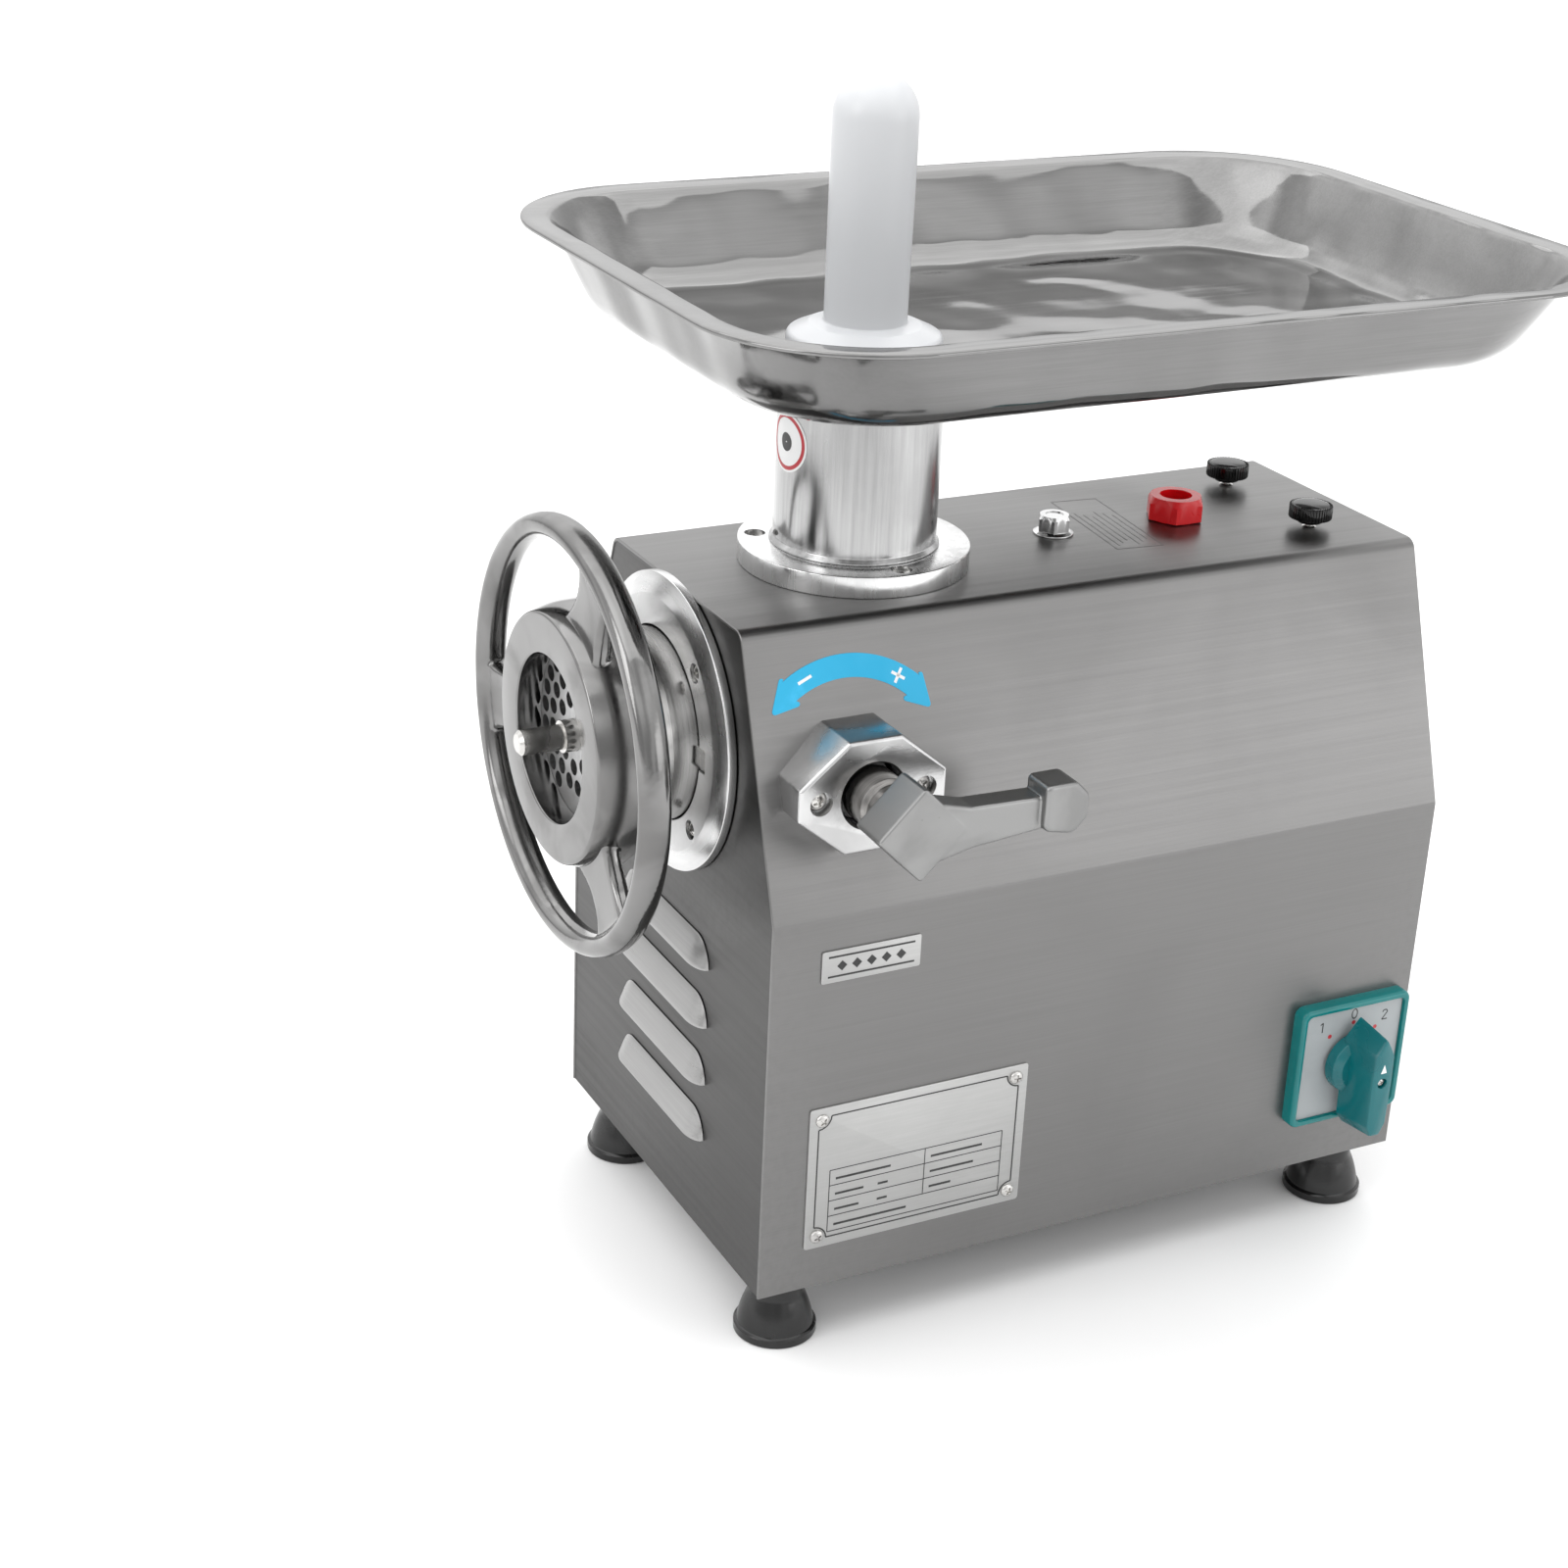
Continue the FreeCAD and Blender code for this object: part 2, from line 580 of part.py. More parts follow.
# ---- tray ----
spigot_radius = neck_bore - sliding
floor_top = tray_floor + tray_sheet
bowl_out = Part.makeLoft([round_rect(tray_x, tray_floor, tray_floor_half_length, tray_floor_half_width,
                                     tray_floor_corner),
                          round_rect(tray_x, tray_rim, tray_half_length - tray_lip,
                                     tray_half_width - tray_lip, tray_corner - tray_lip)], True, True)
bowl_in = Part.makeLoft([round_rect(tray_x, floor_top, tray_floor_half_length - tray_sheet,
                                    tray_floor_half_width - tray_sheet, tray_floor_corner - tray_sheet),
                         round_rect(tray_x, tray_rim + 1, tray_half_length - tray_lip - tray_sheet,
                                    tray_half_width - tray_lip - tray_sheet,
                                    tray_corner - tray_lip - tray_sheet)], True, True)
lip = Part.Face(round_rect(tray_x, tray_rim - tray_sheet, tray_half_length, tray_half_width, tray_corner))
lip = lip.extrude(z_axis * tray_sheet)
tray = bowl_out.fuse(lip).cut(bowl_in)
spigot = rod(at(neck_x, 0, tray_floor - tray_spigot_depth), z_axis, spigot_radius,
             tray_spigot_depth + tray_sheet)
spigot_bore = spigot_radius - tray_sheet
tray = tray.fuse(spigot).cut(rod(at(neck_x, 0, tray_floor - tray_spigot_depth - 1), z_axis,
                                 spigot_bore, tray_spigot_depth + 10))
nodes["tray"] = tray.removeSplitter()

# ---- pusher ----
plunger_radius = spigot_bore - sliding
pusher = turned([(0, 0), (0, plunger_radius - 3), (3, plunger_radius),
                 (pusher_plunger_length, plunger_radius), (pusher_plunger_length, pusher_collar_radius - 2),
                 (pusher_plunger_length + 2.5, pusher_collar_radius),
                 (pusher_plunger_length + 5, pusher_collar_radius - 1),
                 (pusher_plunger_length + pusher_collar_thickness, pusher_radius + 4),
                 (pusher_plunger_length + pusher_collar_thickness + 2, pusher_radius),
                 (pusher_top - pusher_radius - floor_top + pusher_plunger_length, pusher_radius),
                 (pusher_top - pusher_radius - floor_top + pusher_plunger_length, 0)],
                at(neck_x, 0, floor_top - pusher_plunger_length), z_axis)
dome = Part.makeSphere(pusher_radius, at(neck_x, 0, pusher_top - pusher_radius))
nodes["pusher"] = pusher.fuse(dome).removeSplitter()

# ---- head clamp ----
clamp_centre = at(clamp_x, clamp_front, shaft_height)
octagon = [(clamp_half_width, clamp_flat_half_height), (clamp_flat_half_width, clamp_half_height),
           (-clamp_flat_half_width, clamp_half_height), (-clamp_half_width, clamp_flat_half_height),
           (-clamp_half_width, -clamp_flat_half_height), (-clamp_flat_half_width, -clamp_half_height),
           (clamp_flat_half_width, -clamp_half_height), (clamp_half_width, -clamp_flat_half_height)]
clamp_block = prism([clamp_centre + Vector(x, 0, z) for x, z in octagon], y_axis * 45)
clamp_block = clamp_block.cut(outer_block)
clamp_block = clamp_block.cut(rod(clamp_centre, y_axis, clamp_bore, 60))
clamp_screw_holes = [(-24.0, 0.0), (24.0, 0.0)]
clamp_block_screws = []
for x, z in clamp_screw_holes:
    place = clamp_centre + Vector(x, 0, z)
    clamp_block = clamp_block.cut(rod(place, y_axis, 2.9, 60))
    clamp_block = clamp_block.cut(rod(place, y_axis, 4.8, 5))
    body_shell = body_shell.cut(rod(place, y_axis, 2.9, 60))
    clamp_block_screws.append(screw_at(place + y_axis * 5, y_axis, 4.6, 3, 2.7, 22))
nodes["clamp_block"] = clamp_block
nodes["clamp_block_screws"] = Part.makeCompound(clamp_block_screws)
body_shell = body_shell.cut(rod(clamp_centre, y_axis, clamp_bore, 60))
bush_front = clamp_front + clamp_recess
nodes["clamp_bush"] = tube(at(clamp_x, bush_front, shaft_height), y_axis, clamp_bore,
                           clamp_screw_radius + running, clamp_pad_back - bush_front)
clamp_pad = rod(at(clamp_x, clamp_pad_back, shaft_height), y_axis, clamp_pad_radius, clamp_pad_length + 4)
clamp_pad = clamp_pad.cut(rod(at(clamp_x - 40, 0, shaft_height), x_axis, barrel_radius + sliding, 80))
nodes["clamp_pad"] = clamp_pad
hub_back = lever_hub_front + lever_hub_thickness
nodes["clamp_screw"] = rod(at(clamp_x, hub_back, shaft_height), y_axis, clamp_screw_radius,
                           clamp_pad_back - hub_back)
half_diagonal = lever_hub_side / math.sqrt(2)
hub_centre = at(clamp_x, lever_hub_front, shaft_height)
hub_corners = [hub_centre + Vector(half_diagonal * math.cos(t), 0, half_diagonal * math.sin(t))
               for t in ring_of(4)]
clamp_lever = prism(hub_corners, y_axis * lever_hub_thickness)
knob_centre = at(clamp_x + lever_reach, lever_hub_front, shaft_height + lever_rise)
arm_front = lever_hub_front + 1
arm = [at(clamp_x, arm_front, shaft_height + 12), at(knob_centre.x, arm_front, knob_centre.z + 6),
       at(knob_centre.x, arm_front, knob_centre.z - 8), at(clamp_x, arm_front, shaft_height - 12)]
clamp_lever = clamp_lever.fuse(prism(arm, y_axis * 12))
clamp_lever = clamp_lever.fuse(rod(at(knob_centre.x, lever_knob_front, knob_centre.z), y_axis,
                                   lever_knob_radius, 17))
nodes["clamp_lever"] = clamp_lever.removeSplitter()

# arrow decal on the slope above the clamp
along_slope = (shaft_height - bend_height) / math.cos(math.radians(slope_angle))
arc_points = []
for step in range(9):
    angle = math.radians(arrow_middle - arrow_half_angle + arrow_half_angle * step / 4)
    arc_points.append(Vector(math.cos(angle), math.sin(angle), 0))
inner = [point * (arrow_radius - arrow_band / 2) for point in arc_points]
outer = [point * (arrow_radius + arrow_band / 2) for point in arc_points]


def arrow_head(angle_degrees, turn):
    angle = math.radians(angle_degrees)
    tip = math.radians(angle_degrees + turn)
    return [Vector(math.cos(angle), math.sin(angle), 0) * (arrow_radius + arrow_head_half_width),
            Vector(math.cos(tip), math.sin(tip), 0) * arrow_radius,
            Vector(math.cos(angle), math.sin(angle), 0) * (arrow_radius - arrow_head_half_width)]


right_head = arrow_head(arrow_middle - arrow_half_angle, -arrow_head_angle)
left_head = arrow_head(arrow_middle + arrow_half_angle, arrow_head_angle)
arrow = outer + left_head + list(reversed(inner)) + list(reversed(right_head))
arrow_label = prism(arrow, z_axis * label_thickness)
arrow_label.Placement = slope_placement(clamp_x, along_slope)
nodes["arrow_label"] = arrow_label

# ---- switch ----
side_face = -bottom_half_width
switch_bezel = box((switch_x - switch_half_side, side_face - switch_bezel_depth, switch_z - switch_half_side),
                   (switch_x + switch_half_side, side_face, switch_z + switch_half_side))
upright = [edge for edge in switch_bezel.Edges if abs(edge.BoundBox.YLength - switch_bezel_depth) < 0.01]
switch_bezel = switch_bezel.makeFillet(6, upright)
dial_depth = 2.0
switch_bezel = switch_bezel.cut(box((switch_x - dial_half_side, side_face - switch_bezel_depth,
                                     switch_z - dial_half_side),
                                    (switch_x + dial_half_side, side_face - switch_bezel_depth + dial_depth,
                                     switch_z + dial_half_side)))
spindle_hole = rod(at(switch_x, side_face - 20, switch_z), y_axis, spindle_radius + running, 60)
nodes["switch_bezel"] = switch_bezel.cut(spindle_hole)
dial_front = side_face - switch_bezel_depth + 0.5
dial = box((switch_x - dial_half_side, dial_front, switch_z - dial_half_side),
           (switch_x + dial_half_side, side_face - switch_bezel_depth + dial_depth,
            switch_z + dial_half_side))
nodes["switch_dial"] = dial.cut(spindle_hole)
body_shell = body_shell.cut(spindle_hole)
switch_body = box((switch_x - 20, side_face + sheet, switch_z - 20),
                  (switch_x + 20, side_face + 32, switch_z + 20))
nodes["switch_body"] = switch_body.cut(rod(at(switch_x, side_face, switch_z), y_axis,
                                           spindle_radius + running, 22))
knob_back = dial_front - sliding
knob = rod(at(switch_x, knob_back, switch_z), -y_axis, knob_disc_radius, 8)
grip_back = knob_back - 4
grip_low = switch_z - knob_grip_length / 2 - 3
grip = [at(switch_x, grip_back, switch_z + knob_grip_length / 2),
        at(switch_x + knob_grip_width / 2, grip_back, switch_z + knob_grip_length / 2 - 8),
        at(switch_x + knob_grip_width / 2, grip_back, grip_low + 3),
        at(switch_x, grip_back, grip_low),
        at(switch_x - knob_grip_width / 2, grip_back, grip_low + 3),
        at(switch_x - knob_grip_width / 2, grip_back, switch_z + knob_grip_length / 2 - 8)]
knob = knob.fuse(prism(grip, -y_axis * knob_grip_depth))
knob_front = grip_back - knob_grip_depth
screw_seat = rod(at(switch_x, knob_front, switch_z), y_axis, 3.2, 3)
spindle_end = knob_back - 12
knob = knob.cut(screw_seat)
knob = knob.cut(rod(at(switch_x, knob_front, switch_z), y_axis, 1.6, knob_grip_depth))
knob = knob.cut(rod(at(switch_x, spindle_end, switch_z), y_axis, spindle_radius, 20))
nodes["switch_knob"] = knob.removeSplitter()
spindle = rod(at(switch_x, spindle_end, switch_z), y_axis, spindle_radius,
              side_face + sheet + 18 - spindle_end)
nodes["switch_spindle"] = spindle.cut(rod(at(switch_x, spindle_end, switch_z), y_axis, 1.6, 6))
nodes["knob_screw"] = screw_at(at(switch_x, knob_front + 3, switch_z), y_axis, 3.0, 2, 1.6,
                               spindle_end - knob_front + 2)

# ---- plates on the operator's side ----
half_length = rating_plate_length / 2
half_height = rating_plate_height / 2
rating_plate = box((rating_plate_x - half_length, side_face - 0.8, rating_plate_z - half_height),
                   (rating_plate_x + half_length, side_face, rating_plate_z + half_height))
rating_plate_screws = []
for sign_x in (-1, 1):
    for sign_z in (-1, 1):
        place = at(rating_plate_x + sign_x * (half_length - 6), side_face - 0.8,
                   rating_plate_z + sign_z * (half_height - 6))
        rating_plate = rating_plate.cut(rod(place, y_axis, 1.5, 5))
        body_shell = body_shell.cut(rod(place, y_axis, 1.5, 5))
        rating_plate_screws.append(screw_at(place, y_axis, 3.2, 1.6, 1.5, 6))
nodes["rating_plate"] = rating_plate
nodes["rating_plate_screws"] = Part.makeCompound(rating_plate_screws)
nodes["badge"] = box((badge_x - badge_length / 2, side_face - 0.8, badge_z - badge_height / 2),
                     (badge_x + badge_length / 2, side_face, badge_z + badge_height / 2))

# ---- fittings on the top ----
oil_plug = hexagon(at(plug_x, 0, housing_height), z_axis, plug_flats, 9)
oil_plug = oil_plug.fuse(rod(at(plug_x, 0, housing_height + 9), z_axis, 10.5, 3))
plug_depth = sheet + case_wall
oil_plug = oil_plug.fuse(rod(at(plug_x, 0, housing_height - plug_depth), z_axis, 9, plug_depth + 2))
oil_plug = oil_plug.cut(rod(at(plug_x, 0, housing_height + 2), z_axis, 6.5, 20))
nodes["oil_plug"] = oil_plug.removeSplitter()
body_shell = body_shell.cut(rod(at(plug_x, 0, housing_height - 10), z_axis, 9 + screw_gap, 20))
top_bolt = hexagon(at(bolt_x, 0, housing_height + 2), z_axis, bolt_flats, 7)
top_bolt = top_bolt.fuse(rod(at(bolt_x, 0, housing_height), z_axis, 8.5, 2))
top_bolt = top_bolt.fuse(rod(at(bolt_x, 0, housing_height - 16), z_axis, 4, 17))
nodes["top_bolt"] = top_bolt.removeSplitter()
body_shell = body_shell.cut(rod(at(bolt_x, 0, housing_height - 10), z_axis, 4 + screw_gap, 20))
for name, y in (("thumb_screw_near", -thumb_y), ("thumb_screw_far", thumb_y)):
    knurl = rod(at(thumb_x, y, housing_height + 4), z_axis, thumb_radius, thumb_thickness)
    knurl = knurl.makeChamfer(0.8, [edge for edge in knurl.Edges if len(edge.Vertexes) == 1])
    knurl = knurl.fuse(rod(at(thumb_x, y, housing_height + 0.3), z_axis, 5, 5))
    nodes[name] = knurl.fuse(rod(at(thumb_x, y, housing_height - 12), z_axis, 3, 18)).removeSplitter()
    body_shell = body_shell.cut(rod(at(thumb_x, y, housing_height - 10), z_axis, 3 + running, 20))

# ---- gear case ----
cover_front = case_back - case_wall
case_top = shell_top_inside
case_low = (case_front, -case_half_width, case_bottom)
gear_case = box(case_low, (cover_front, case_half_width, case_top))
gear_case = gear_case.cut(box((case_front + case_wall + 2, -case_half_width + case_wall, case_bottom + case_wall),
                              (cover_front + 1, case_half_width - case_wall, case_top - case_wall)))
for y in (-case_half_width + 6, case_half_width - 22):
    gear_case = gear_case.fuse(box((case_front + 10, y, 2), (cover_front - 10, y + 16, case_bottom + 1)))
gear_cover = box((cover_front, -case_half_width, case_bottom), (case_back, case_half_width, case_top))
front_bearing = 32.0
mid_bearing = 17.0
back_bearing = 22.0
pinion_hole = motor_module * motor_pinion_teeth / 2 + 2.5
gear_case = gear_case.cut(rod(at(case_front - 1, 0, shaft_height), x_axis, front_bearing, 12))
gear_case = gear_case.cut(rod(at(case_front - 1, 0, mid_height), x_axis, mid_bearing, 12))
gear_case = gear_case.cut(rod(at(case_front - 1, 0, motor_height), x_axis, pinion_hole, 12))
gear_case = gear_case.cut(rod(at(bolt_x, 0, case_top - 10), z_axis, 4, 20))
gear_case = gear_case.cut(rod(at(plug_x, 0, case_top - 10), z_axis, 9, 20))
gear_cover = gear_cover.cut(rod(at(cover_front - 1, 0, shaft_height), x_axis, back_bearing, 12))
gear_cover = gear_cover.cut(rod(at(cover_front - 1, 0, mid_height), x_axis, mid_bearing, 12))
nodes["gear_case"] = gear_case.common(inner_block).removeSplitter()
nodes["gear_cover"] = gear_cover.common(inner_block)
nodes["output_bearings"] = Part.makeCompound([
    tube(at(case_front, 0, shaft_height), x_axis, front_bearing, output_shaft_radius + running, 8),
    tube(at(cover_front, 0, shaft_height), x_axis, back_bearing, output_journal_radius + running, case_wall)])
nodes["mid_bearings"] = Part.makeCompound([
    tube(at(case_front, 0, mid_height), x_axis, mid_bearing, mid_shaft_radius + running, 8),
    tube(at(cover_front, 0, mid_height), x_axis, mid_bearing, mid_shaft_radius + running, case_wall)])

# ---- shafts and gears; one tooth of each driven gear stands in line with its pinion ----
socket_start = barrel_back + 3
gear_start = cover_front - 14 - output_gear_width
output_shaft = rod(at(socket_start, 0, shaft_height), x_axis, output_shaft_radius, case_front + 14 - socket_start)
output_shaft = output_shaft.fuse(rod(at(case_front + 12, 0, shaft_height), x_axis, 15,
                                     cover_front - 6 - case_front - 12))
output_shaft = output_shaft.fuse(rod(at(cover_front - 8, 0, shaft_height), x_axis, output_journal_radius,
                                     case_wall + 8))
socket_half = half_square + 0.15
socket_end = tail_start + drive_length + 1
output_shaft = output_shaft.cut(box((socket_start - 1, -socket_half, shaft_height - socket_half),
                                    (socket_end, socket_half, shaft_height + socket_half)))
nodes["output_shaft"] = output_shaft.removeSplitter()
nodes["output_gear"] = spur_gear(output_teeth, output_module, output_gear_width,
                                 at(gear_start, 0, shaft_height), 180, 15)
mid_centre = at(gear_start - 1, 0, mid_height)
mid_pinion = spur_gear(output_pinion_teeth, output_module, output_gear_width + 2, mid_centre,
                       180.0 / output_pinion_teeth, mid_shaft_radius)
mid_shaft = rod(at(case_front, 0, mid_height), x_axis, mid_shaft_radius, case_back - case_front)
nodes["mid_shaft"] = mid_shaft.fuse(mid_pinion).removeSplitter()
motor_gear_start = case_front + 34
nodes["mid_gear"] = spur_gear(motor_gear_teeth, motor_module, motor_gear_width,
                              at(motor_gear_start, 0, mid_height), 180, mid_shaft_radius)
motor_pinion = spur_gear(motor_pinion_teeth, motor_module, motor_gear_width + 2,
                         at(motor_gear_start - 1, 0, motor_height), 180.0 / motor_pinion_teeth,
                         motor_shaft_radius)
rotor_shaft = rod(at(fan_front, 0, motor_height), x_axis, motor_shaft_radius,
                  motor_gear_start + motor_gear_width + 1 - fan_front)
nodes["rotor_shaft"] = rotor_shaft.fuse(motor_pinion).removeSplitter()

# ---- motor ----
bell_start = case_front - 24
stator_front = motor_front + motor_bell_length
motor_bearing = 17.0
stator = tube(at(stator_front, 0, motor_height), x_axis, motor_radius, rotor_radius + 0.5,
              bell_start - stator_front)
nodes["motor_stator"] = stator
fan_bell = rod(at(motor_front, 0, motor_height), x_axis, motor_radius, motor_bell_length)
fan_bell = fan_bell.cut(rod(at(motor_front + 8, 0, motor_height), x_axis, motor_radius - 6, 20))
nodes["motor_fan_bell"] = fan_bell.cut(rod(at(motor_front - 1, 0, motor_height), x_axis, motor_bearing, 30))
drive_bell = rod(at(bell_start, 0, motor_height), x_axis, motor_radius, case_front - bell_start)
drive_bell = drive_bell.cut(rod(at(bell_start - 1, 0, motor_height), x_axis, motor_radius - 6, 13))
drive_bell = drive_bell.cut(rod(at(bell_start - 1, 0, motor_height), x_axis, motor_bearing, 40))
drive_bell = drive_bell.cut(rod(at(0, 0, shaft_height), x_axis, seat_radius + 0.5, housing_length))
nodes["motor_drive_bell"] = drive_bell
nodes["motor_bearings"] = Part.makeCompound([
    tube(at(motor_front, 0, motor_height), x_axis, motor_bearing, motor_shaft_radius + running, 8),
    tube(at(bell_start + 12, 0, motor_height), x_axis, motor_bearing, motor_shaft_radius + running, 10)])
nodes["rotor"] = tube(at(stator_front + 6, 0, motor_height), x_axis, rotor_radius, motor_shaft_radius,
                      bell_start - stator_front - 12)
fan = tube(at(fan_front, 0, motor_height), x_axis, 16, motor_shaft_radius, 13)
for angle in ring_of(fan_blades):
    outward = Vector(0, -math.sin(angle), math.cos(angle))
    sideways = outward.cross(x_axis)
    hub = at(fan_front, 0, motor_height)
    blade = [hub + outward * 14 - sideways, hub + outward * fan_radius - sideways,
             hub + outward * fan_radius + sideways, hub + outward * 14 + sideways]
    fan = fan.fuse(prism(blade, x_axis * 12))
nodes["fan"] = fan.removeSplitter()
cradle = box((stator_front + 20, -45, 2), (stator_front + 65, 45, motor_height - 20))
nodes["motor_cradle"] = cradle.cut(rod(at(0, 0, motor_height), x_axis, motor_radius, housing_length))
nodes["capacitor"] = rod(at(housing_length - 35, 45, 2), z_axis, capacitor_radius, 75)

nodes["body_shell"] = body_shell
nodes["front_panel"] = front_panel
nodes["base_plate"] = base_plate


def export():
    os.makedirs("parts", exist_ok=True)
    to_row_frame = Vector(-origin_x, 0, foot_height)
    for name, shape in nodes.items():
        placed = shape.copy()
        placed.translate(to_row_frame)
        placed.exportStep(os.path.join("parts", name + ".step"))
        if not placed.isValid() or placed.Volume <= 0:
            print("check this shape:", name)
    print(len(nodes), "nodes written")


export()
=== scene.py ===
import math

import bmesh
import bpy
from mathutils import Matrix, Vector


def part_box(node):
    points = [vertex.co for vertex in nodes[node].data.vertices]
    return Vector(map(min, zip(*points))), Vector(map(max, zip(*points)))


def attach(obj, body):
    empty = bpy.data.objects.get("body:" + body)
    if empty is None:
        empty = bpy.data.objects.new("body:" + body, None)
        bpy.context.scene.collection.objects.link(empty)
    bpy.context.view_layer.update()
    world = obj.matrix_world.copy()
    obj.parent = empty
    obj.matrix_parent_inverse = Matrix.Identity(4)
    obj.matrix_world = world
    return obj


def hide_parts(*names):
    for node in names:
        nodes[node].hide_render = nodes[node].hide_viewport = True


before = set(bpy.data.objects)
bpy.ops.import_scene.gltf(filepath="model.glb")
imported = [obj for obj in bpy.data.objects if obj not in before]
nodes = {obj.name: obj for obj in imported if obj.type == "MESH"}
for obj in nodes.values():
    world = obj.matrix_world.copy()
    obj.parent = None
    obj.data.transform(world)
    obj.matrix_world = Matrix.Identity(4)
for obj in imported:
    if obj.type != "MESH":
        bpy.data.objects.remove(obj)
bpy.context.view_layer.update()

mm = 0.001

# places read from the frame; the cover's half widths, bends and sheet are given
shellLow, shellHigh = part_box("body_shell")
plateLow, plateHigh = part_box("grinding_plate")
shaftZ = (plateLow.z + plateHigh.z) / 2
neckLow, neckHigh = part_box("feed_neck")
neckX = (neckLow.x + neckHigh.x) / 2
housing = dict(length=(shellHigh.x - shellLow.x) / mm, height=(shellHigh.z - shellLow.z) / mm,
               halfLow=104.0, halfTop=64.0, bend=180.0, sheet=1.5, bendRadius=6.0)


def at(x, y, z):
    # x from the front panel, z from the underside of the housing, in millimetres
    return Vector((shellLow.x + x * mm, y * mm, shellLow.z + z * mm))


shaftHeight = (shaftZ - shellLow.z) / mm
neckPlace = (neckX - shellLow.x) / mm


# small mesh tools
def roundLoop(points, radius, steps=5, closed=True):
    # fillets each corner of a 2D outline; radius is one number or one per corner
    count = len(points)
    result = []
    for i, point in enumerate(points):
        size = radius[i] if isinstance(radius, (list, tuple)) else radius
        here = Vector(point)
        if size <= 0 or (not closed and i in (0, count - 1)):
            result.append(here)
            continue
        before = Vector(points[i - 1]) - here
        after = Vector(points[(i + 1) % count]) - here
        angle = before.angle(after)
        reach = min(size / math.tan(angle / 2), before.length * 0.49, after.length * 0.49)
        realRadius = reach * math.tan(angle / 2)
        start = here + before.normalized() * reach
        inwards = (before.normalized() + after.normalized()).normalized()
        middle = here + inwards * (realRadius / math.sin(angle / 2))
        first = start - middle
        last = here + after.normalized() * reach - middle
        turn = first.angle_signed(last)
        for step in range(steps + 1):
            part = -turn * step / steps
            spun = Vector((first.x * math.cos(part) - first.y * math.sin(part),
                           first.x * math.sin(part) + first.y * math.cos(part)))
            result.append(middle + spun)
    return result


def offsetLoop(points, distance):
    # moves an anticlockwise outline inwards
    count = len(points)
    moved = []
    for i, point in enumerate(points):
        before = (Vector(point) - Vector(points[i - 1]))
        after = (Vector(points[(i + 1) % count]) - Vector(point))
        if before.length < 1e-9 or after.length < 1e-9:
            moved.append(Vector(point))
            continue
        first = Vector((-before.y, before.x)).normalized()
        second = Vector((-after.y, after.x)).normalized()
        mid = (first + second).normalized()
        moved.append(Vector(point) + mid * distance / max(0.35, mid.dot(first)))
    return moved


def ringFaces(bm, rings, closed=True, capFirst=False, capLast=False):
    # joins rings of vertices of equal length
    count = len(rings[0])
    for low, high in zip(rings, rings[1:]):
        for i in range(count if closed else count - 1):
            j = (i + 1) % count
            quad = [low[i], low[j], high[j], high[i]]
            kept = [v for k, v in enumerate(quad) if v is not quad[k - 1]]
            if len(set(kept)) > 2:
                bm.faces.new(kept)
    if capFirst:
        bm.faces.new(list(reversed(rings[0])))
    if capLast:
        bm.faces.new(rings[-1])


def lathe(bm, profile, centre, axis, turns=96, closed=False):
    # profile is (distance along the axis, radius) in millimetres
    axis = Vector(axis).normalized()
    side = axis.orthogonal().normalized()
    other = axis.cross(side)
    rings = []
    for along, radius in profile:
        middle = centre + axis * along * mm
        if radius < 1e-6:
            tip = bm.verts.new(middle)
            rings.append([tip] * turns)
        else:
            rings.append([bm.verts.new(middle + (side * math.cos(a) + other * math.sin(a)) * radius * mm)
                          for a in (2 * math.pi * k / turns for k in range(turns))])
    if closed:
        rings.append(rings[0])
    ringFaces(bm, rings)


def slab(bm, outline, origin, across, up, depth, rounding=0.4, steps=3, backRounding=0.0):
    # solid from an anticlockwise outline; its front edge is rounded over, and it stands depth proud of origin
    across = Vector(across).normalized()
    up = Vector(up).normalized()
    out = across.cross(up)
    levels = []
    if backRounding > 0:
        for step in range(steps):
            turn = math.pi / 2 * step / steps
            levels.append((backRounding * (1 - math.sin(turn)), backRounding * (1 - math.cos(turn))))
        levels.append((0, backRounding))
    else:
        levels.append((0, 0))
    for step in range(steps + 1):
        turn = math.pi / 2 * step / steps
        levels.append((rounding * (1 - math.cos(turn)), depth - rounding + rounding * math.sin(turn)))
    rings = []
    for inset, height in levels:
        loop = offsetLoop(outline, inset) if inset > 0 else [Vector(p) for p in outline]
        rings.append([bm.verts.new(origin + (across * p.x + up * p.y + out * height) * mm) for p in loop])
    ringFaces(bm, rings, capFirst=True, capLast=True)


def regular(sides, radius, first=0.0):
    return [(radius * math.cos(first + 2 * math.pi * k / sides),
             radius * math.sin(first + 2 * math.pi * k / sides))
            for k in range(sides)]


def rectangle(halfWidth, halfHeight):
    return [(-halfWidth, -halfHeight), (halfWidth, -halfHeight), (halfWidth, halfHeight),
            (-halfWidth, halfHeight)]


def toObject(name, bm, smoothAngle=35):
    bmesh.ops.remove_doubles(bm, verts=bm.verts, dist=1e-6)
    bmesh.ops.recalc_face_normals(bm, faces=bm.faces)
    mesh = bpy.data.meshes.new(name)
    bm.to_mesh(mesh)
    bm.free()
    piece = bpy.data.objects.new(name, mesh)
    bpy.context.scene.collection.objects.link(piece)
    shadeByAngle(mesh, smoothAngle)
    return piece


def shadeByAngle(mesh, degrees):
    mesh.shade_smooth()
    if degrees < 180:
        mesh.set_sharp_from_angle(angle=math.radians(degrees))


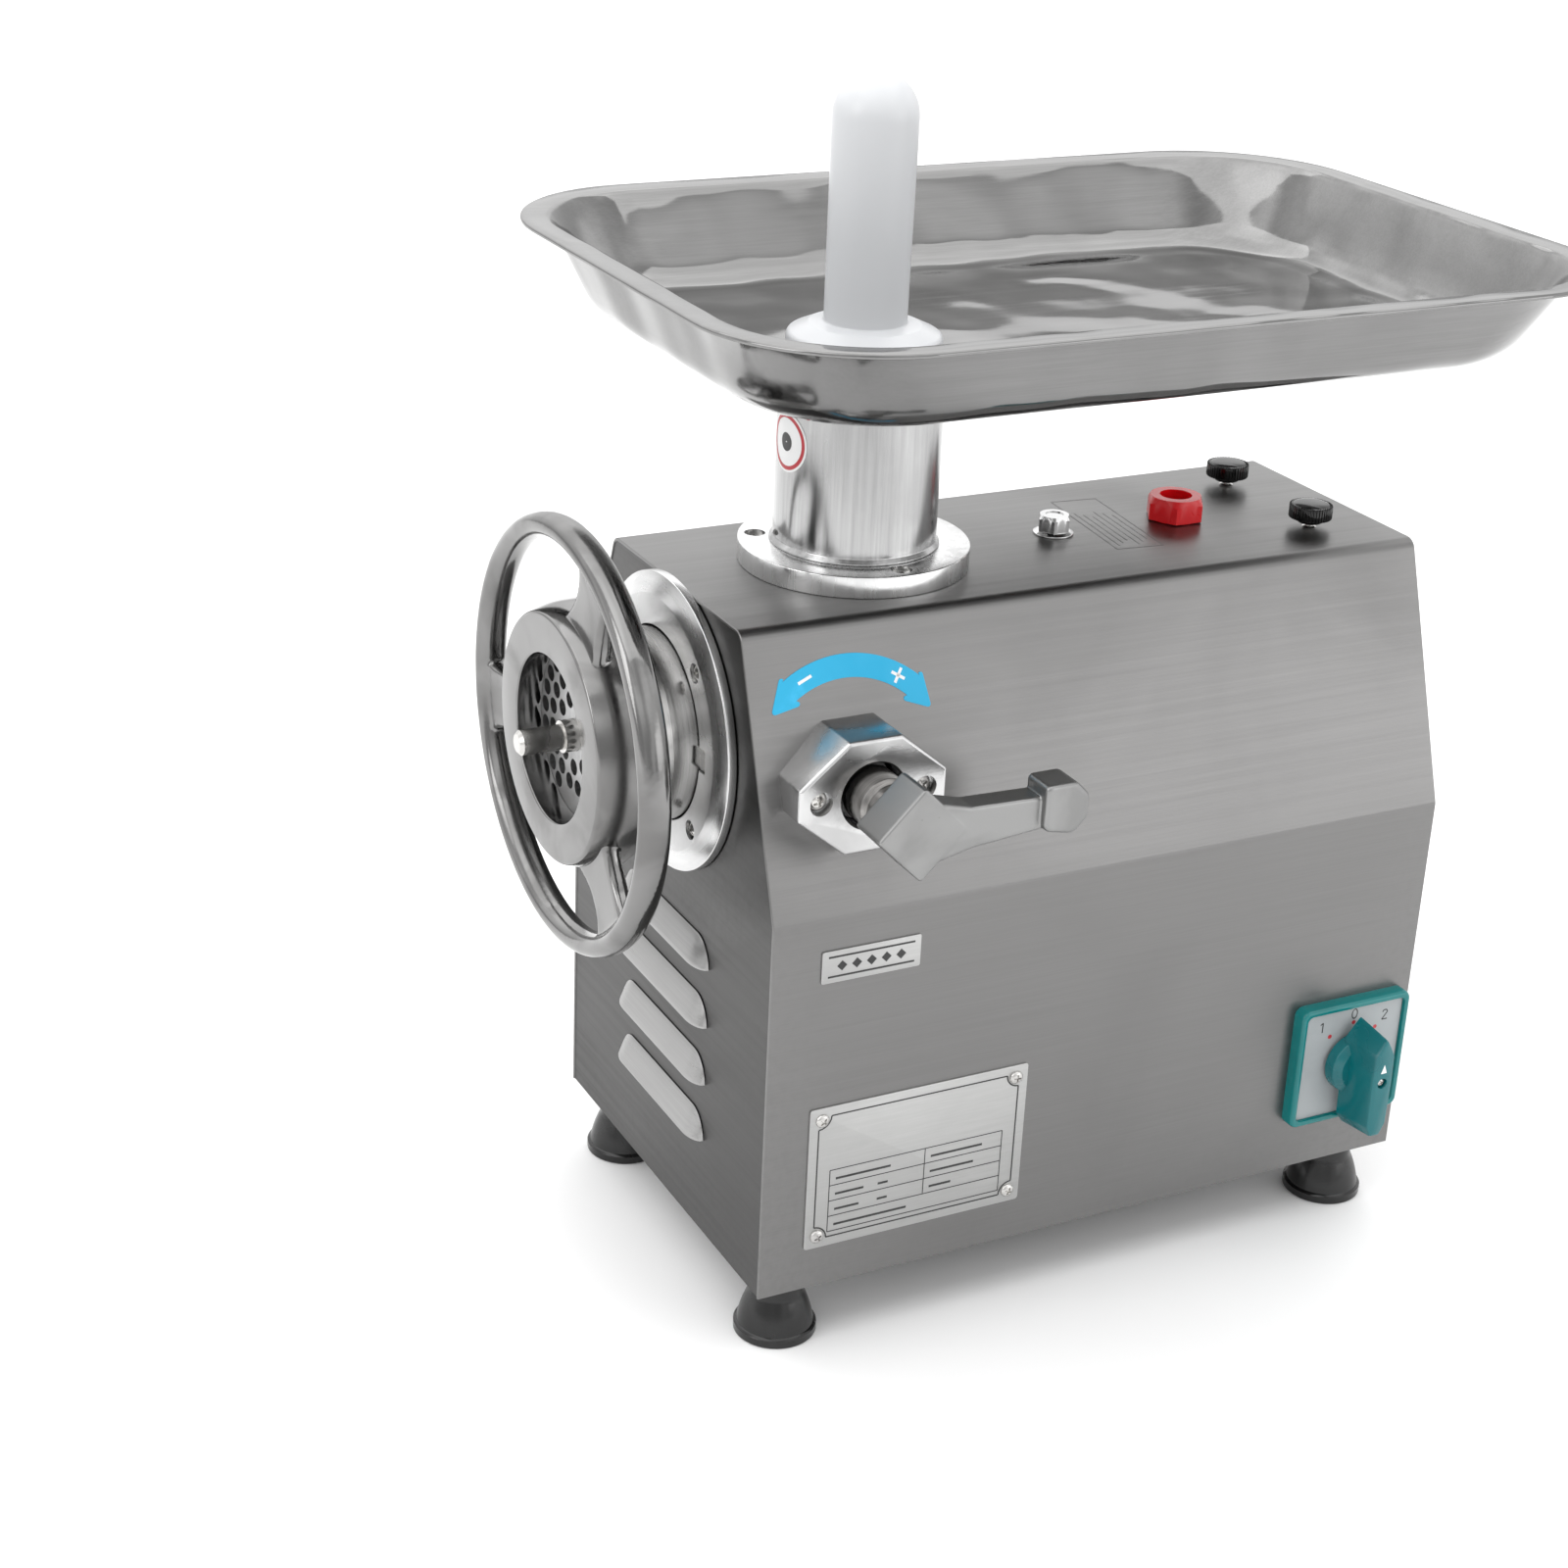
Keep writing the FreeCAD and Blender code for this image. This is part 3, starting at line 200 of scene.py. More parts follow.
def settle(piece, smoothAngle=35):
    # applies the piece's modifiers
    graph = bpy.context.evaluated_depsgraph_get()
    mesh = bpy.data.meshes.new_from_object(piece.evaluated_get(graph))
    piece.modifiers.clear()
    old = piece.data
    piece.data = mesh
    bpy.data.meshes.remove(old)
    shadeByAngle(mesh, smoothAngle)


def carve(piece, cutters, smoothAngle=35):
    # cuts each cutter out of the piece
    for cutter in cutters:
        cut = piece.modifiers.new("cut", "BOOLEAN")
        cut.operation = "DIFFERENCE"
        cut.solver = "EXACT"
        cut.object = cutter
    settle(piece, smoothAngle)
    for cutter in cutters:
        bpy.data.objects.remove(cutter)


def rodCutter(start, axis, radius, length, turns=40):
    bm = bmesh.new()
    lathe(bm, [(0, 0), (0, radius), (length, radius), (length, 0)], start, axis, turns)
    return toObject("cutter", bm)


def castBlend(piece, voxel, smoothing, smoothAngle=180):
    # melts overlapping solids into one casting with soft inner corners
    melt = piece.modifiers.new("melt", "REMESH")
    melt.mode = "VOXEL"
    melt.voxel_size = voxel * mm
    soften = piece.modifiers.new("soften", "SMOOTH")
    soften.factor = 0.5
    soften.iterations = smoothing
    settle(piece, smoothAngle)


def finishPiece(piece, body, slotName, material, *replaced):
    piece.data.materials.clear()
    piece.data.materials.append(material)
    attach(piece, body)
    if replaced:
        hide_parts(*replaced)
    return piece


# shader groups
def groupOf(name, inputs, outputs):
    tree = bpy.data.node_groups.new(name, "ShaderNodeTree")
    for label, kind, value in inputs:
        socket = tree.interface.new_socket(name=label, in_out="INPUT", socket_type=kind)
        if value is not None:
            socket.default_value = value
    for label, kind in outputs:
        tree.interface.new_socket(name=label, in_out="OUTPUT", socket_type=kind)
    entry = tree.nodes.new("NodeGroupInput")
    leave = tree.nodes.new("NodeGroupOutput")
    return tree, entry, leave


def mathNode(tree, operation, first, second=None, clamp=False):
    node = tree.nodes.new("ShaderNodeMath")
    node.operation = operation
    node.use_clamp = clamp
    for index, value in enumerate((first, second)):
        if value is None:
            continue
        if isinstance(value, (int, float)):
            node.inputs[index].default_value = value
        else:
            tree.links.new(value, node.inputs[index])
    return node.outputs[0]


def noiseNode(tree, vector, scale, detail=4.0, roughness=0.55):
    node = tree.nodes.new("ShaderNodeTexNoise")
    node.inputs["Scale"].default_value = scale
    node.inputs["Detail"].default_value = detail
    node.inputs["Roughness"].default_value = roughness
    tree.links.new(vector, node.inputs["Vector"])
    return node.outputs["Fac"]


def spread(tree, value, low, high, outLow=0.0, outHigh=1.0):
    node = tree.nodes.new("ShaderNodeMapRange")
    node.interpolation_type = "SMOOTHSTEP"
    tree.links.new(value, node.inputs["Value"])
    for label, number in (("From Min", low), ("From Max", high), ("To Min", outLow), ("To Max", outHigh)):
        if isinstance(number, (int, float)):
            node.inputs[label].default_value = number
        else:
            tree.links.new(number, node.inputs[label])
    return node.outputs[0]


def buildBrushGrain():
    # long fine scratches; the vector comes in already stretched along the brushing
    tree, entry, leave = groupOf("brushGrain", [("Vector", "NodeSocketVector", None),
                                                ("Rough Low", "NodeSocketFloat", 0.25),
                                                ("Rough High", "NodeSocketFloat", 0.45)],
                                 [("Tint", "NodeSocketFloat"), ("Roughness", "NodeSocketFloat"),
                                  ("Height", "NodeSocketFloat")])
    vector = entry.outputs["Vector"]
    fine = noiseNode(tree, vector, 1.0, 6.0, 0.7)
    coarse = noiseNode(tree, vector, 0.23, 3.0, 0.6)
    mixed = mathNode(tree, "ADD", mathNode(tree, "MULTIPLY", fine, 0.6),
                     mathNode(tree, "MULTIPLY", coarse, 0.4))
    tree.links.new(spread(tree, mixed, 0.3, 0.7), leave.inputs["Tint"])
    tree.links.new(spread(tree, coarse, 0.3, 0.7, entry.outputs["Rough Low"],
                          entry.outputs["Rough High"]),
                   leave.inputs["Roughness"])
    tree.links.new(fine, leave.inputs["Height"])
    return tree


def buildEdgeWear():
    # bright rubbed edges
    tree, entry, leave = groupOf("edgeWear", [("Vector", "NodeSocketVector", None),
                                              ("Low", "NodeSocketFloat", 0.52),
                                              ("High", "NodeSocketFloat", 0.6)],
                                 [("Mask", "NodeSocketFloat")])
    shape = tree.nodes.new("ShaderNodeNewGeometry")
    patch = noiseNode(tree, entry.outputs["Vector"], 240.0, 3.0)
    edge = spread(tree, shape.outputs["Pointiness"], entry.outputs["Low"], entry.outputs["High"])
    tree.links.new(mathNode(tree, "MULTIPLY", edge, spread(tree, patch, 0.25, 0.65), clamp=True),
                   leave.inputs["Mask"])
    return tree


def buildSmudges():
    # finger marks and wiped patches
    tree, entry, leave = groupOf("smudges", [("Vector", "NodeSocketVector", None),
                                             ("Size", "NodeSocketFloat", 14.0),
                                             ("Wave Size", "NodeSocketFloat", 9.0)],
                                 [("Mask", "NodeSocketFloat"), ("Waves", "NodeSocketFloat")])
    broad = tree.nodes.new("ShaderNodeTexNoise")
    broad.inputs["Detail"].default_value = 4.0
    broad.inputs["Distortion"].default_value = 0.6
    tree.links.new(entry.outputs["Vector"], broad.inputs["Vector"])
    tree.links.new(entry.outputs["Size"], broad.inputs["Scale"])
    waves = noiseNode(tree, entry.outputs["Vector"], 9.0, 1.0)
    tree.links.new(entry.outputs["Wave Size"], waves.node.inputs["Scale"])
    tree.links.new(spread(tree, broad.outputs["Fac"], 0.42, 0.68), leave.inputs["Mask"])
    tree.links.new(waves, leave.inputs["Waves"])
    return tree


def buildCastSkin():
    # grain and small pits of a cast or moulded surface
    tree, entry, leave = groupOf("castSkin", [("Vector", "NodeSocketVector", None),
                                              ("Grain", "NodeSocketFloat", 900.0)],
                                 [("Height", "NodeSocketFloat"), ("Pits", "NodeSocketFloat")])
    grain = tree.nodes.new("ShaderNodeTexNoise")
    grain.inputs["Detail"].default_value = 3.0
    tree.links.new(entry.outputs["Vector"], grain.inputs["Vector"])
    tree.links.new(entry.outputs["Grain"], grain.inputs["Scale"])
    cells = tree.nodes.new("ShaderNodeTexVoronoi")
    cells.inputs["Scale"].default_value = 260.0
    tree.links.new(entry.outputs["Vector"], cells.inputs["Vector"])
    pits = spread(tree, cells.outputs["Distance"], 0.02, 0.12, 1.0, 0.0)
    rare = spread(tree, noiseNode(tree, entry.outputs["Vector"], 60.0, 2.0), 0.6, 0.7)
    sparse = mathNode(tree, "MULTIPLY", pits, rare)
    tree.links.new(mathNode(tree, "SUBTRACT", grain.outputs["Fac"], sparse), leave.inputs["Height"])
    tree.links.new(sparse, leave.inputs["Pits"])
    return tree


brushGrain = buildBrushGrain()
edgeWear = buildEdgeWear()
smudges = buildSmudges()
castSkin = buildCastSkin()


def place(tree, group, vector=None, **values):
    node = tree.nodes.new("ShaderNodeGroup")
    node.node_tree = group
    if vector is not None:
        tree.links.new(vector, node.inputs["Vector"])
    for key, value in values.items():
        node.inputs[key.replace("_", " ")].default_value = value
    return node


def mixColour(tree, factor, first, second):
    node = tree.nodes.new("ShaderNodeMix")
    node.data_type = "RGBA"
    tree.links.new(factor, node.inputs[0])
    for index, value in ((6, first), (7, second)):
        if isinstance(value, tuple):
            node.inputs[index].default_value = (*value, 1.0)
        else:
            tree.links.new(value, node.inputs[index])
    return node.outputs[2]


def startMaterial(name):
    material = bpy.data.materials.new(name)
    material.use_nodes = True
    tree = material.node_tree
    tree.nodes.clear()
    output = tree.nodes.new("ShaderNodeOutputMaterial")
    shader = tree.nodes.new("ShaderNodeBsdfPrincipled")
    tree.links.new(shader.outputs[0], output.inputs[0])
    coords = tree.nodes.new("ShaderNodeTexCoord")
    return material, tree, shader, coords.outputs["Object"]


def stretch(tree, vector, scale):
    node = tree.nodes.new("ShaderNodeMapping")
    node.inputs["Scale"].default_value = scale
    tree.links.new(vector, node.inputs["Vector"])
    return node.outputs[0]


def bumpNode(tree, height, distance, strength=1.0, after=None):
    node = tree.nodes.new("ShaderNodeBump")
    node.inputs["Strength"].default_value = strength
    node.inputs["Distance"].default_value = distance * mm
    tree.links.new(height, node.inputs["Height"])
    if after is not None:
        tree.links.new(after, node.inputs["Normal"])
    return node.outputs[0]


def brushedMetal(name, light, dark, rough, brush, grainBump=0.02, smudge=14.0, waves=0.0,
                 wear=(0.53, 0.62),
                 waveSize=9.0):
    # brush is how fast the grain varies along x, y and z
    material, tree, shader, vector = startMaterial(name)
    grain = place(tree, brushGrain, stretch(tree, vector, brush), Rough_Low=rough[0], Rough_High=rough[1])
    marks = place(tree, smudges, vector, Size=smudge, Wave_Size=waveSize)
    worn = place(tree, edgeWear, vector, Low=wear[0], High=wear[1])
    base = mixColour(tree, grain.outputs["Tint"], dark, light)
    dulled = mixColour(tree, mathNode(tree, "MULTIPLY", marks.outputs["Mask"], 0.35), base,
                       tuple(0.88 * c for c in dark))
    bright = mixColour(tree, mathNode(tree, "MULTIPLY", worn.outputs["Mask"], 0.6), dulled,
                       tuple(min(1.0, 1.12 * c) for c in light))
    tree.links.new(bright, shader.inputs["Base Color"])
    rubbed = mathNode(tree, "ADD", grain.outputs["Roughness"],
                      mathNode(tree, "MULTIPLY", marks.outputs["Mask"], 0.06))
    tree.links.new(rubbed, shader.inputs["Roughness"])
    shader.inputs["Metallic"].default_value = 1.0
    normal = bumpNode(tree, grain.outputs["Height"], grainBump)
    if waves > 0:
        normal = bumpNode(tree, marks.outputs["Waves"], waves, after=normal)
    tree.links.new(normal, shader.inputs["Normal"])
    return material


def castMetal(name, light, dark, rough, grain=900.0, skinBump=0.03, smudge=20.0, waves=0.0,
              wear=(0.52, 0.6),
              waveSize=9.0):
    material, tree, shader, vector = startMaterial(name)
    skin = place(tree, castSkin, vector, Grain=grain)
    marks = place(tree, smudges, vector, Size=smudge, Wave_Size=waveSize)
    worn = place(tree, edgeWear, vector, Low=wear[0], High=wear[1])
    base = mixColour(tree, marks.outputs["Mask"], light, dark)
    pitted = mixColour(tree, skin.outputs["Pits"], base, tuple(0.4 * c for c in dark))
    bright = mixColour(tree, mathNode(tree, "MULTIPLY", worn.outputs["Mask"], 0.7), pitted,
                       tuple(min(1.0, 1.15 * c) for c in light))
    tree.links.new(bright, shader.inputs["Base Color"])
    tree.links.new(spread(tree, marks.outputs["Mask"], 0.0, 1.0, rough[0], rough[1]),
                   shader.inputs["Roughness"])
    shader.inputs["Metallic"].default_value = 1.0
    normal = bumpNode(tree, skin.outputs["Height"], skinBump)
    if waves > 0:
        normal = bumpNode(tree, marks.outputs["Waves"], waves, after=normal)
    tree.links.new(normal, shader.inputs["Normal"])
    return material


def mouldedPlastic(name, colour, deep, rough, grain=1400.0, skinBump=0.02, glow=0.0, coat=0.0,
                   wear=(0.55, 0.65)):
    material, tree, shader, vector = startMaterial(name)
    skin = place(tree, castSkin, vector, Grain=grain)
    marks = place(tree, smudges, vector, Size=30.0)
    worn = place(tree, edgeWear, vector, Low=wear[0], High=wear[1])
    base = mixColour(tree, marks.outputs["Mask"], colour, deep)
    scuffed = mixColour(tree, mathNode(tree, "MULTIPLY", worn.outputs["Mask"], 0.35), base,
                        tuple(min(1.0, c * 1.3 + 0.05) for c in colour))
    tree.links.new(scuffed, shader.inputs["Base Color"])
    tree.links.new(spread(tree, marks.outputs["Mask"], 0.0, 1.0, rough[0], rough[1]),
                   shader.inputs["Roughness"])
    tree.links.new(bumpNode(tree, skin.outputs["Height"], skinBump), shader.inputs["Normal"])
    if glow > 0:
        shader.inputs["Subsurface Weight"].default_value = glow
        shader.inputs["Subsurface Radius"].default_value = (0.02, 0.02, 0.018)
        shader.inputs["Subsurface Scale"].default_value = 0.5
    if coat > 0:
        shader.inputs["Coat Weight"].default_value = coat
        shader.inputs["Coat Roughness"].default_value = 0.1
    return material


finishes = dict(
    housingSide=brushedMetal("housingBrushed", (0.205, 0.203, 0.201), (0.185, 0.183, 0.181), (0.30, 0.36),
                             (12.0, 1500.0, 1500.0), 0.008, 7.0, 0.6),
    # front panel: the side cover's brushed steel darkened to about a third, painted shade for the front's
    # dark reflection
    shadedFrontSteel=brushedMetal("frontBrushedPaintedShade", (0.065, 0.064, 0.063), (0.052, 0.051, 0.05), (0.28, 0.36),
                              (1500.0, 14.0, 1500.0), 0.008, 8.0),
    # louvres: the front panel's own steel made far lighter, a painted highlight for the light their faces
    # catch
    louvreLitSteel=brushedMetal("louvreBrushedPaintedLight", (0.36, 0.357, 0.355), (0.31, 0.308, 0.305), (0.26, 0.34),
                              (1500.0, 14.0, 1500.0), 0.008, 8.0),
    tray=brushedMetal("trayPolished", (0.24, 0.238, 0.237), (0.205, 0.204, 0.202), (0.05, 0.11),
                      (30.0, 1200.0, 1200.0), 0.002, 9.0, 6.0, waveSize=17.0),
    castPolished=castMetal("wheelPolished", (0.23, 0.228, 0.226), (0.17, 0.168, 0.166), (0.13, 0.24),
                           700.0, 0.012, 26.0, 0.6,
                           waveSize=28.0),
    barrelTurned=brushedMetal("barrelTurned", (0.44, 0.436, 0.43), (0.32, 0.316, 0.31), (0.16, 0.26),
                              (1500.0, 20.0, 20.0), 0.01, 20.0),
    neckTurned=brushedMetal("neckTurned", (0.50, 0.50, 0.50), (0.33, 0.33, 0.33), (0.12, 0.22),
                            (500.0, 500.0, 14.0), 0.005, 16.0, 0.5, waveSize=22.0),
    flangeTurned=brushedMetal("flangeTurned", (0.84, 0.84, 0.84), (0.76, 0.76, 0.76), (0.2, 0.3),
                              (900.0, 900.0, 8.0), 0.0015, 16.0),
    collarTurned=brushedMetal("collarTurned", (0.76, 0.76, 0.76), (0.62, 0.62, 0.62), (0.2, 0.3),
                              (1500.0, 40.0, 40.0), 0.01, 16.0),
    clampCast=castMetal("clampCast", (0.60, 0.60, 0.60), (0.50, 0.50, 0.50), (0.24, 0.36), 1100.0, 0.025,
                        24.0, 0.3),
    leverCast=castMetal("leverCast", (0.29, 0.29, 0.288), (0.25, 0.25, 0.248), (0.34, 0.46), 1300.0, 0.03,
                        24.0),
    toolSteel=castMetal("plateGround", (0.44, 0.44, 0.44), (0.38, 0.38, 0.38), (0.3, 0.42), 1600.0, 0.01,
                        30.0),
    # near-black steel, painted shade for the inside of the clamp bore; used on the clamp bush
    clampBoreShade=castMetal("clampBoreShade", (0.16, 0.16, 0.16), (0.10, 0.10, 0.10), (0.4, 0.5), 1600.0, 0.01,
                       30.0),
    screwSteel=castMetal("screwZinc", (0.62, 0.61, 0.59), (0.48, 0.47, 0.46), (0.2, 0.34), 1500.0, 0.015,
                         60.0),
    spindleSteel=brushedMetal("spindleTurned", (0.30, 0.29, 0.28), (0.16, 0.155, 0.15), (0.24, 0.36),
                              (30.0, 1600.0, 30.0), 0.012, 30.0),
    innerCast=castMetal("innerCast", (0.45, 0.45, 0.45), (0.36, 0.36, 0.36), (0.45, 0.6), 600.0, 0.06,
                        30.0),
    gearSteel=castMetal("gearOiled", (0.34, 0.33, 0.31), (0.22, 0.21, 0.20), (0.3, 0.4), 900.0, 0.02,
                        40.0),
    motorIron=castMetal("motorIron", (0.14, 0.145, 0.15), (0.08, 0.085, 0.09), (0.5, 0.65), 500.0, 0.08,
                        40.0),
    pusherWhite=mouldedPlastic("pusherWhite", (0.60, 0.61, 0.625), (0.60, 0.61, 0.625), (0.28, 0.28),
                               500.0, 0.003, 0.1),
    tealFrame=mouldedPlastic("tealFrame", (0.0, 0.17, 0.17), (0.0, 0.15, 0.15), (0.16, 0.24), 1600.0,
                             0.006),
    tealKnob=mouldedPlastic("tealKnob", (0.0, 0.13, 0.145), (0.0, 0.115, 0.13), (0.2, 0.3), 1600.0,
                            0.008),
    dialGrey=mouldedPlastic("dialGrey", (0.36, 0.38, 0.39), (0.33, 0.35, 0.36), (0.45, 0.55), 2000.0,
                            0.01),
    plugRed=mouldedPlastic("plugRed", (0.80, 0.006, 0.012), (0.70, 0.004, 0.009), (0.22, 0.32), 1200.0,
                           0.012),
    boltChrome=castMetal("boltChrome", (0.66, 0.66, 0.66), (0.56, 0.56, 0.56), (0.12, 0.2), 1500.0, 0.006,
                         60.0),
    knobGloss=mouldedPlastic("knobGloss", (0.006, 0.006, 0.006), (0.012, 0.012, 0.012), (0.10, 0.2),
                             1600.0, 0.008),
    blackPlastic=mouldedPlastic("knobBlack", (0.012, 0.012, 0.012), (0.02, 0.02, 0.02), (0.35, 0.5),
                                1200.0, 0.02),
    footRubber=mouldedPlastic("footRubber", (0.008, 0.008, 0.008), (0.015, 0.015, 0.015), (0.2, 0.34),
                              900.0, 0.03),
    arrowBlue=mouldedPlastic("arrowBlue", (0.0, 0.40, 0.68), (0.0, 0.385, 0.66), (0.4, 0.5), 2400.0,
                             0.004),
    printWhite=mouldedPlastic("printWhite", (0.82, 0.82, 0.82), (0.76, 0.76, 0.76), (0.4, 0.5), 2400.0,
                              0.004),
    printBlack=mouldedPlastic("printBlack", (0.01, 0.01, 0.01), (0.02, 0.02, 0.02), (0.4, 0.5), 2400.0,
                              0.004),
    printFaint=mouldedPlastic("printFaint", (0.16, 0.155, 0.155), (0.14, 0.136, 0.136), (0.4, 0.5),
                              2400.0, 0.004),
    printRed=mouldedPlastic("printRed", (0.45, 0.02, 0.03), (0.38, 0.02, 0.03), (0.4, 0.5), 2400.0,
                            0.004),
    plateSilver=brushedMetal("plateSilver", (0.48, 0.48, 0.475), (0.43, 0.43, 0.425), (0.34, 0.44),
                             (40.0, 900.0, 900.0), 0.004, 12.0),
)
print("finishes made:", len(finishes))


# housing
def buildCover():
    h = housing
    profile = [(-h["halfLow"], 0.0), (-h["halfLow"], h["bend"]), (-h["halfTop"], h["height"]),
               (h["halfTop"], h["height"]), (h["halfLow"], h["bend"]), (h["halfLow"], 0.0)]
    outer = roundLoop(profile, h["bendRadius"], 8, closed=False)

    def inward(points, distance):
        moved = []
        for i, point in enumerate(points):
            before = points[i] - points[i - 1] if i > 0 else points[1] - points[0]
            after = points[i + 1] - points[i] if i < len(points) - 1 else before
            way = (before.normalized() + after.normalized()).normalized()
            moved.append(point + Vector((way.y, -way.x)) * distance)
        return moved

    edge = 0.35
    thick = h["sheet"]
    rows = []
    spots = [0.0] + [h["length"] * k / 8 for k in range(1, 8)] + [h["length"]]
    for k, x in enumerate(spots):
        if k == 0:
            rows += [(edge, thick), (0.0, thick - edge), (0.0, edge), (edge, 0.0)]
        elif k == len(spots) - 1:
            rows += [(x - edge, 0.0), (x, edge), (x, thick - edge), (x - edge, thick)]
        else:
            rows.append((x, 0.0))
    bm = bmesh.new()
    rings = []
    for x, depth in rows:
        rings.append([bm.verts.new(at(x, p.x, p.y)) for p in inward(outer, depth)])
    ringFaces(bm, rings + [rings[0]], closed=False)
    # thin strips along the two bottom edges
    for index in (0, -1):
        bm.faces.new([ring[index] for ring in rings])
    return finishPiece(toObject("housingCover", bm), "root", "brushed_steel", finishes["housingSide"],
                       "body_shell")


louvre = dict(count=4, pitch=28.5, first=52.5, drop=6.1, length=88.0, band=13.0, rise=5.0, end=11.0,
              sheet=1.0,
              slot=2.4)


def buildFrontPanel():
    h = housing
    inset = h["sheet"] + 0.05
    low = h["halfLow"] - inset
    top = h["halfTop"] - inset * 0.72
    outline = roundLoop([(-low, 0.2), (low, 0.2), (low, h["bend"]), (top, h["height"] - inset),
                         (-top, h["height"] - inset), (-low, h["bend"])], [0.5, 0.5, 4.5, 4.5, 4.5, 4.5],
                        6)
    bm = bmesh.new()
    loops = [outline, [Vector((x, y + shaftHeight)) for x, y in regular(96, 42.6)]]
    for row in range(louvre["count"]):
        middle = louvre["first"] + louvre["pitch"] * row
        half = louvre["length"] / 2 - 5
        slotHeight = middle - louvre["drop"] + louvre["slot"] + 0.6
        loops.append([Vector((x, y + slotHeight)) for x, y in rectangle(half, louvre["slot"])])
    edges = []
    for loop in loops:
        ring = [bm.verts.new(at(0.4, p.x, p.y)) for p in loop]
        edges += [bm.edges.new((ring[i - 1], ring[i])) for i in range(len(ring))]
    bmesh.ops.triangle_fill(bm, use_beauty=True, edges=edges)
    piece = toObject("frontPanel", bm, 20)
    for face in piece.data.polygons:
        if face.normal.x > 0:
            piece.data.flip_normals()
            break
    thicken = piece.modifiers.new("thicken", "SOLIDIFY")
    thicken.thickness = 1.0 * mm
    thicken.offset = -1
    settle(piece, 20)
    # the front panel takes the darkened steel, painted shade
    return finishPiece(piece, "root", "brushed_steel", finishes["shadedFrontSteel"], "front_panel")


def buildLouvres():
    bm = bmesh.new()
    across, upward = 48, 14
    half = louvre["length"] / 2
    for row in range(louvre["count"]):
        foot = louvre["first"] + louvre["pitch"] * row - louvre["drop"]
        grid = []
        for j in range(upward + 1):
            v = j / upward
            line = []
            for i in range(across + 1):
                u = -1 + 2 * i / across
                y = half * math.copysign(1 - (1 - abs(u)) ** 1.5, u)
                over = max(0.0, abs(y) - (half - louvre["end"])) / louvre["end"]
                ends = math.sqrt(max(0.0, 1 - over ** 2))
                face = min(1.0, (1 - v) * 1.08) ** 0.92
                line.append(bm.verts.new(at(0.35 - louvre["rise"] * ends * face, y,
                                            foot + v * louvre["band"] * ends)))
            grid.append(line)
        ringFaces(bm, grid, closed=False)
    piece = toObject("frontLouvres", bm, 60)
    thicken = piece.modifiers.new("thicken", "SOLIDIFY")
    thicken.thickness = louvre["sheet"] * mm
    thicken.offset = 0
    settle(piece, 50)
    # the louvres take the lightened steel, painted highlight
    return finishPiece(piece, "root", "brushed_steel", finishes["louvreLitSteel"])


buildCover()
buildFrontPanel()
buildLouvres()
# the rear panel and base plate reuse the front's darkened steel, painted shade
nodes["rear_panel"].data.materials[0] = finishes["shadedFrontSteel"]
nodes["base_plate"].data.materials[0] = finishes["shadedFrontSteel"]
print("housing built")

foot = dict(base=18.6, top=12.0, rim=4.6, neck=21.0, height=32.0)


def buildFeet():
    low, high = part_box("feet")
    f = foot
    profile = [(0, 0), (0, f["base"] - 3), (0, f["base"] - 0.6), (0.6, f["base"]),
               (f["rim"] - 0.7, f["base"]),
               (f["rim"], f["base"] - 0.6)]
    for step in range(9):
        share = step / 8
        bulge = 0.6 * math.sin(math.pi * share)
        profile.append((f["rim"] + 0.4 + (f["neck"] - f["rim"] - 0.4) * share,
                        f["base"] - 1.3 + (f["top"] - f["base"] + 1.3) * share + bulge))
    profile += [(f["height"], f["top"]), (f["height"], 0)]
    bm = bmesh.new()
    for x in (low.x + f["base"] * mm, high.x - f["base"] * mm):
        for y in (low.y + f["base"] * mm, high.y - f["base"] * mm):
            lathe(bm, profile, Vector((x, y, 0.0)), (0, 0, 1), 64)
    return finishPiece(toObject("rubberFeet", bm, 30), "root", "black_rubber", finishes["footRubber"],
                       "feet")


buildFeet()


# screws
def buildScrewHead(radius, height):
    # domed head with a cross recess, pointing up from z = 0
    profile = [(0, 0), (0, radius), (height * 0.35, radius * 0.98), (height * 0.65, radius * 0.85),
               (height * 0.88, radius * 0.6), (height, radius * 0.3), (height, 0)]
    bm = bmesh.new()
    lathe(bm, profile, Vector((0, 0, 0)), (0, 0, 1), 36)
    head = toObject("screwHead", bm, 50)
    cross = bmesh.new()
    for turn in (0, math.pi / 2):
        arm = roundLoop(rectangle(radius * 0.58, radius * 0.13), radius * 0.1, 2)
        spun = [Vector((p.x * math.cos(turn) - p.y * math.sin(turn),
                        p.x * math.sin(turn) + p.y * math.cos(turn)))
                for p in arm]
        slab(cross, spun, Vector((0, 0, height * 0.35 * mm)), (1, 0, 0), (0, 1, 0), height * 1.5, 0.01, 1)
    cutter = toObject("cross", cross)
    melt = cutter.modifiers.new("join", "REMESH")
    melt.mode = "VOXEL"
    melt.voxel_size = radius * 0.05 * mm
    settle(cutter)
    carve(head, [cutter], 50)
    return head


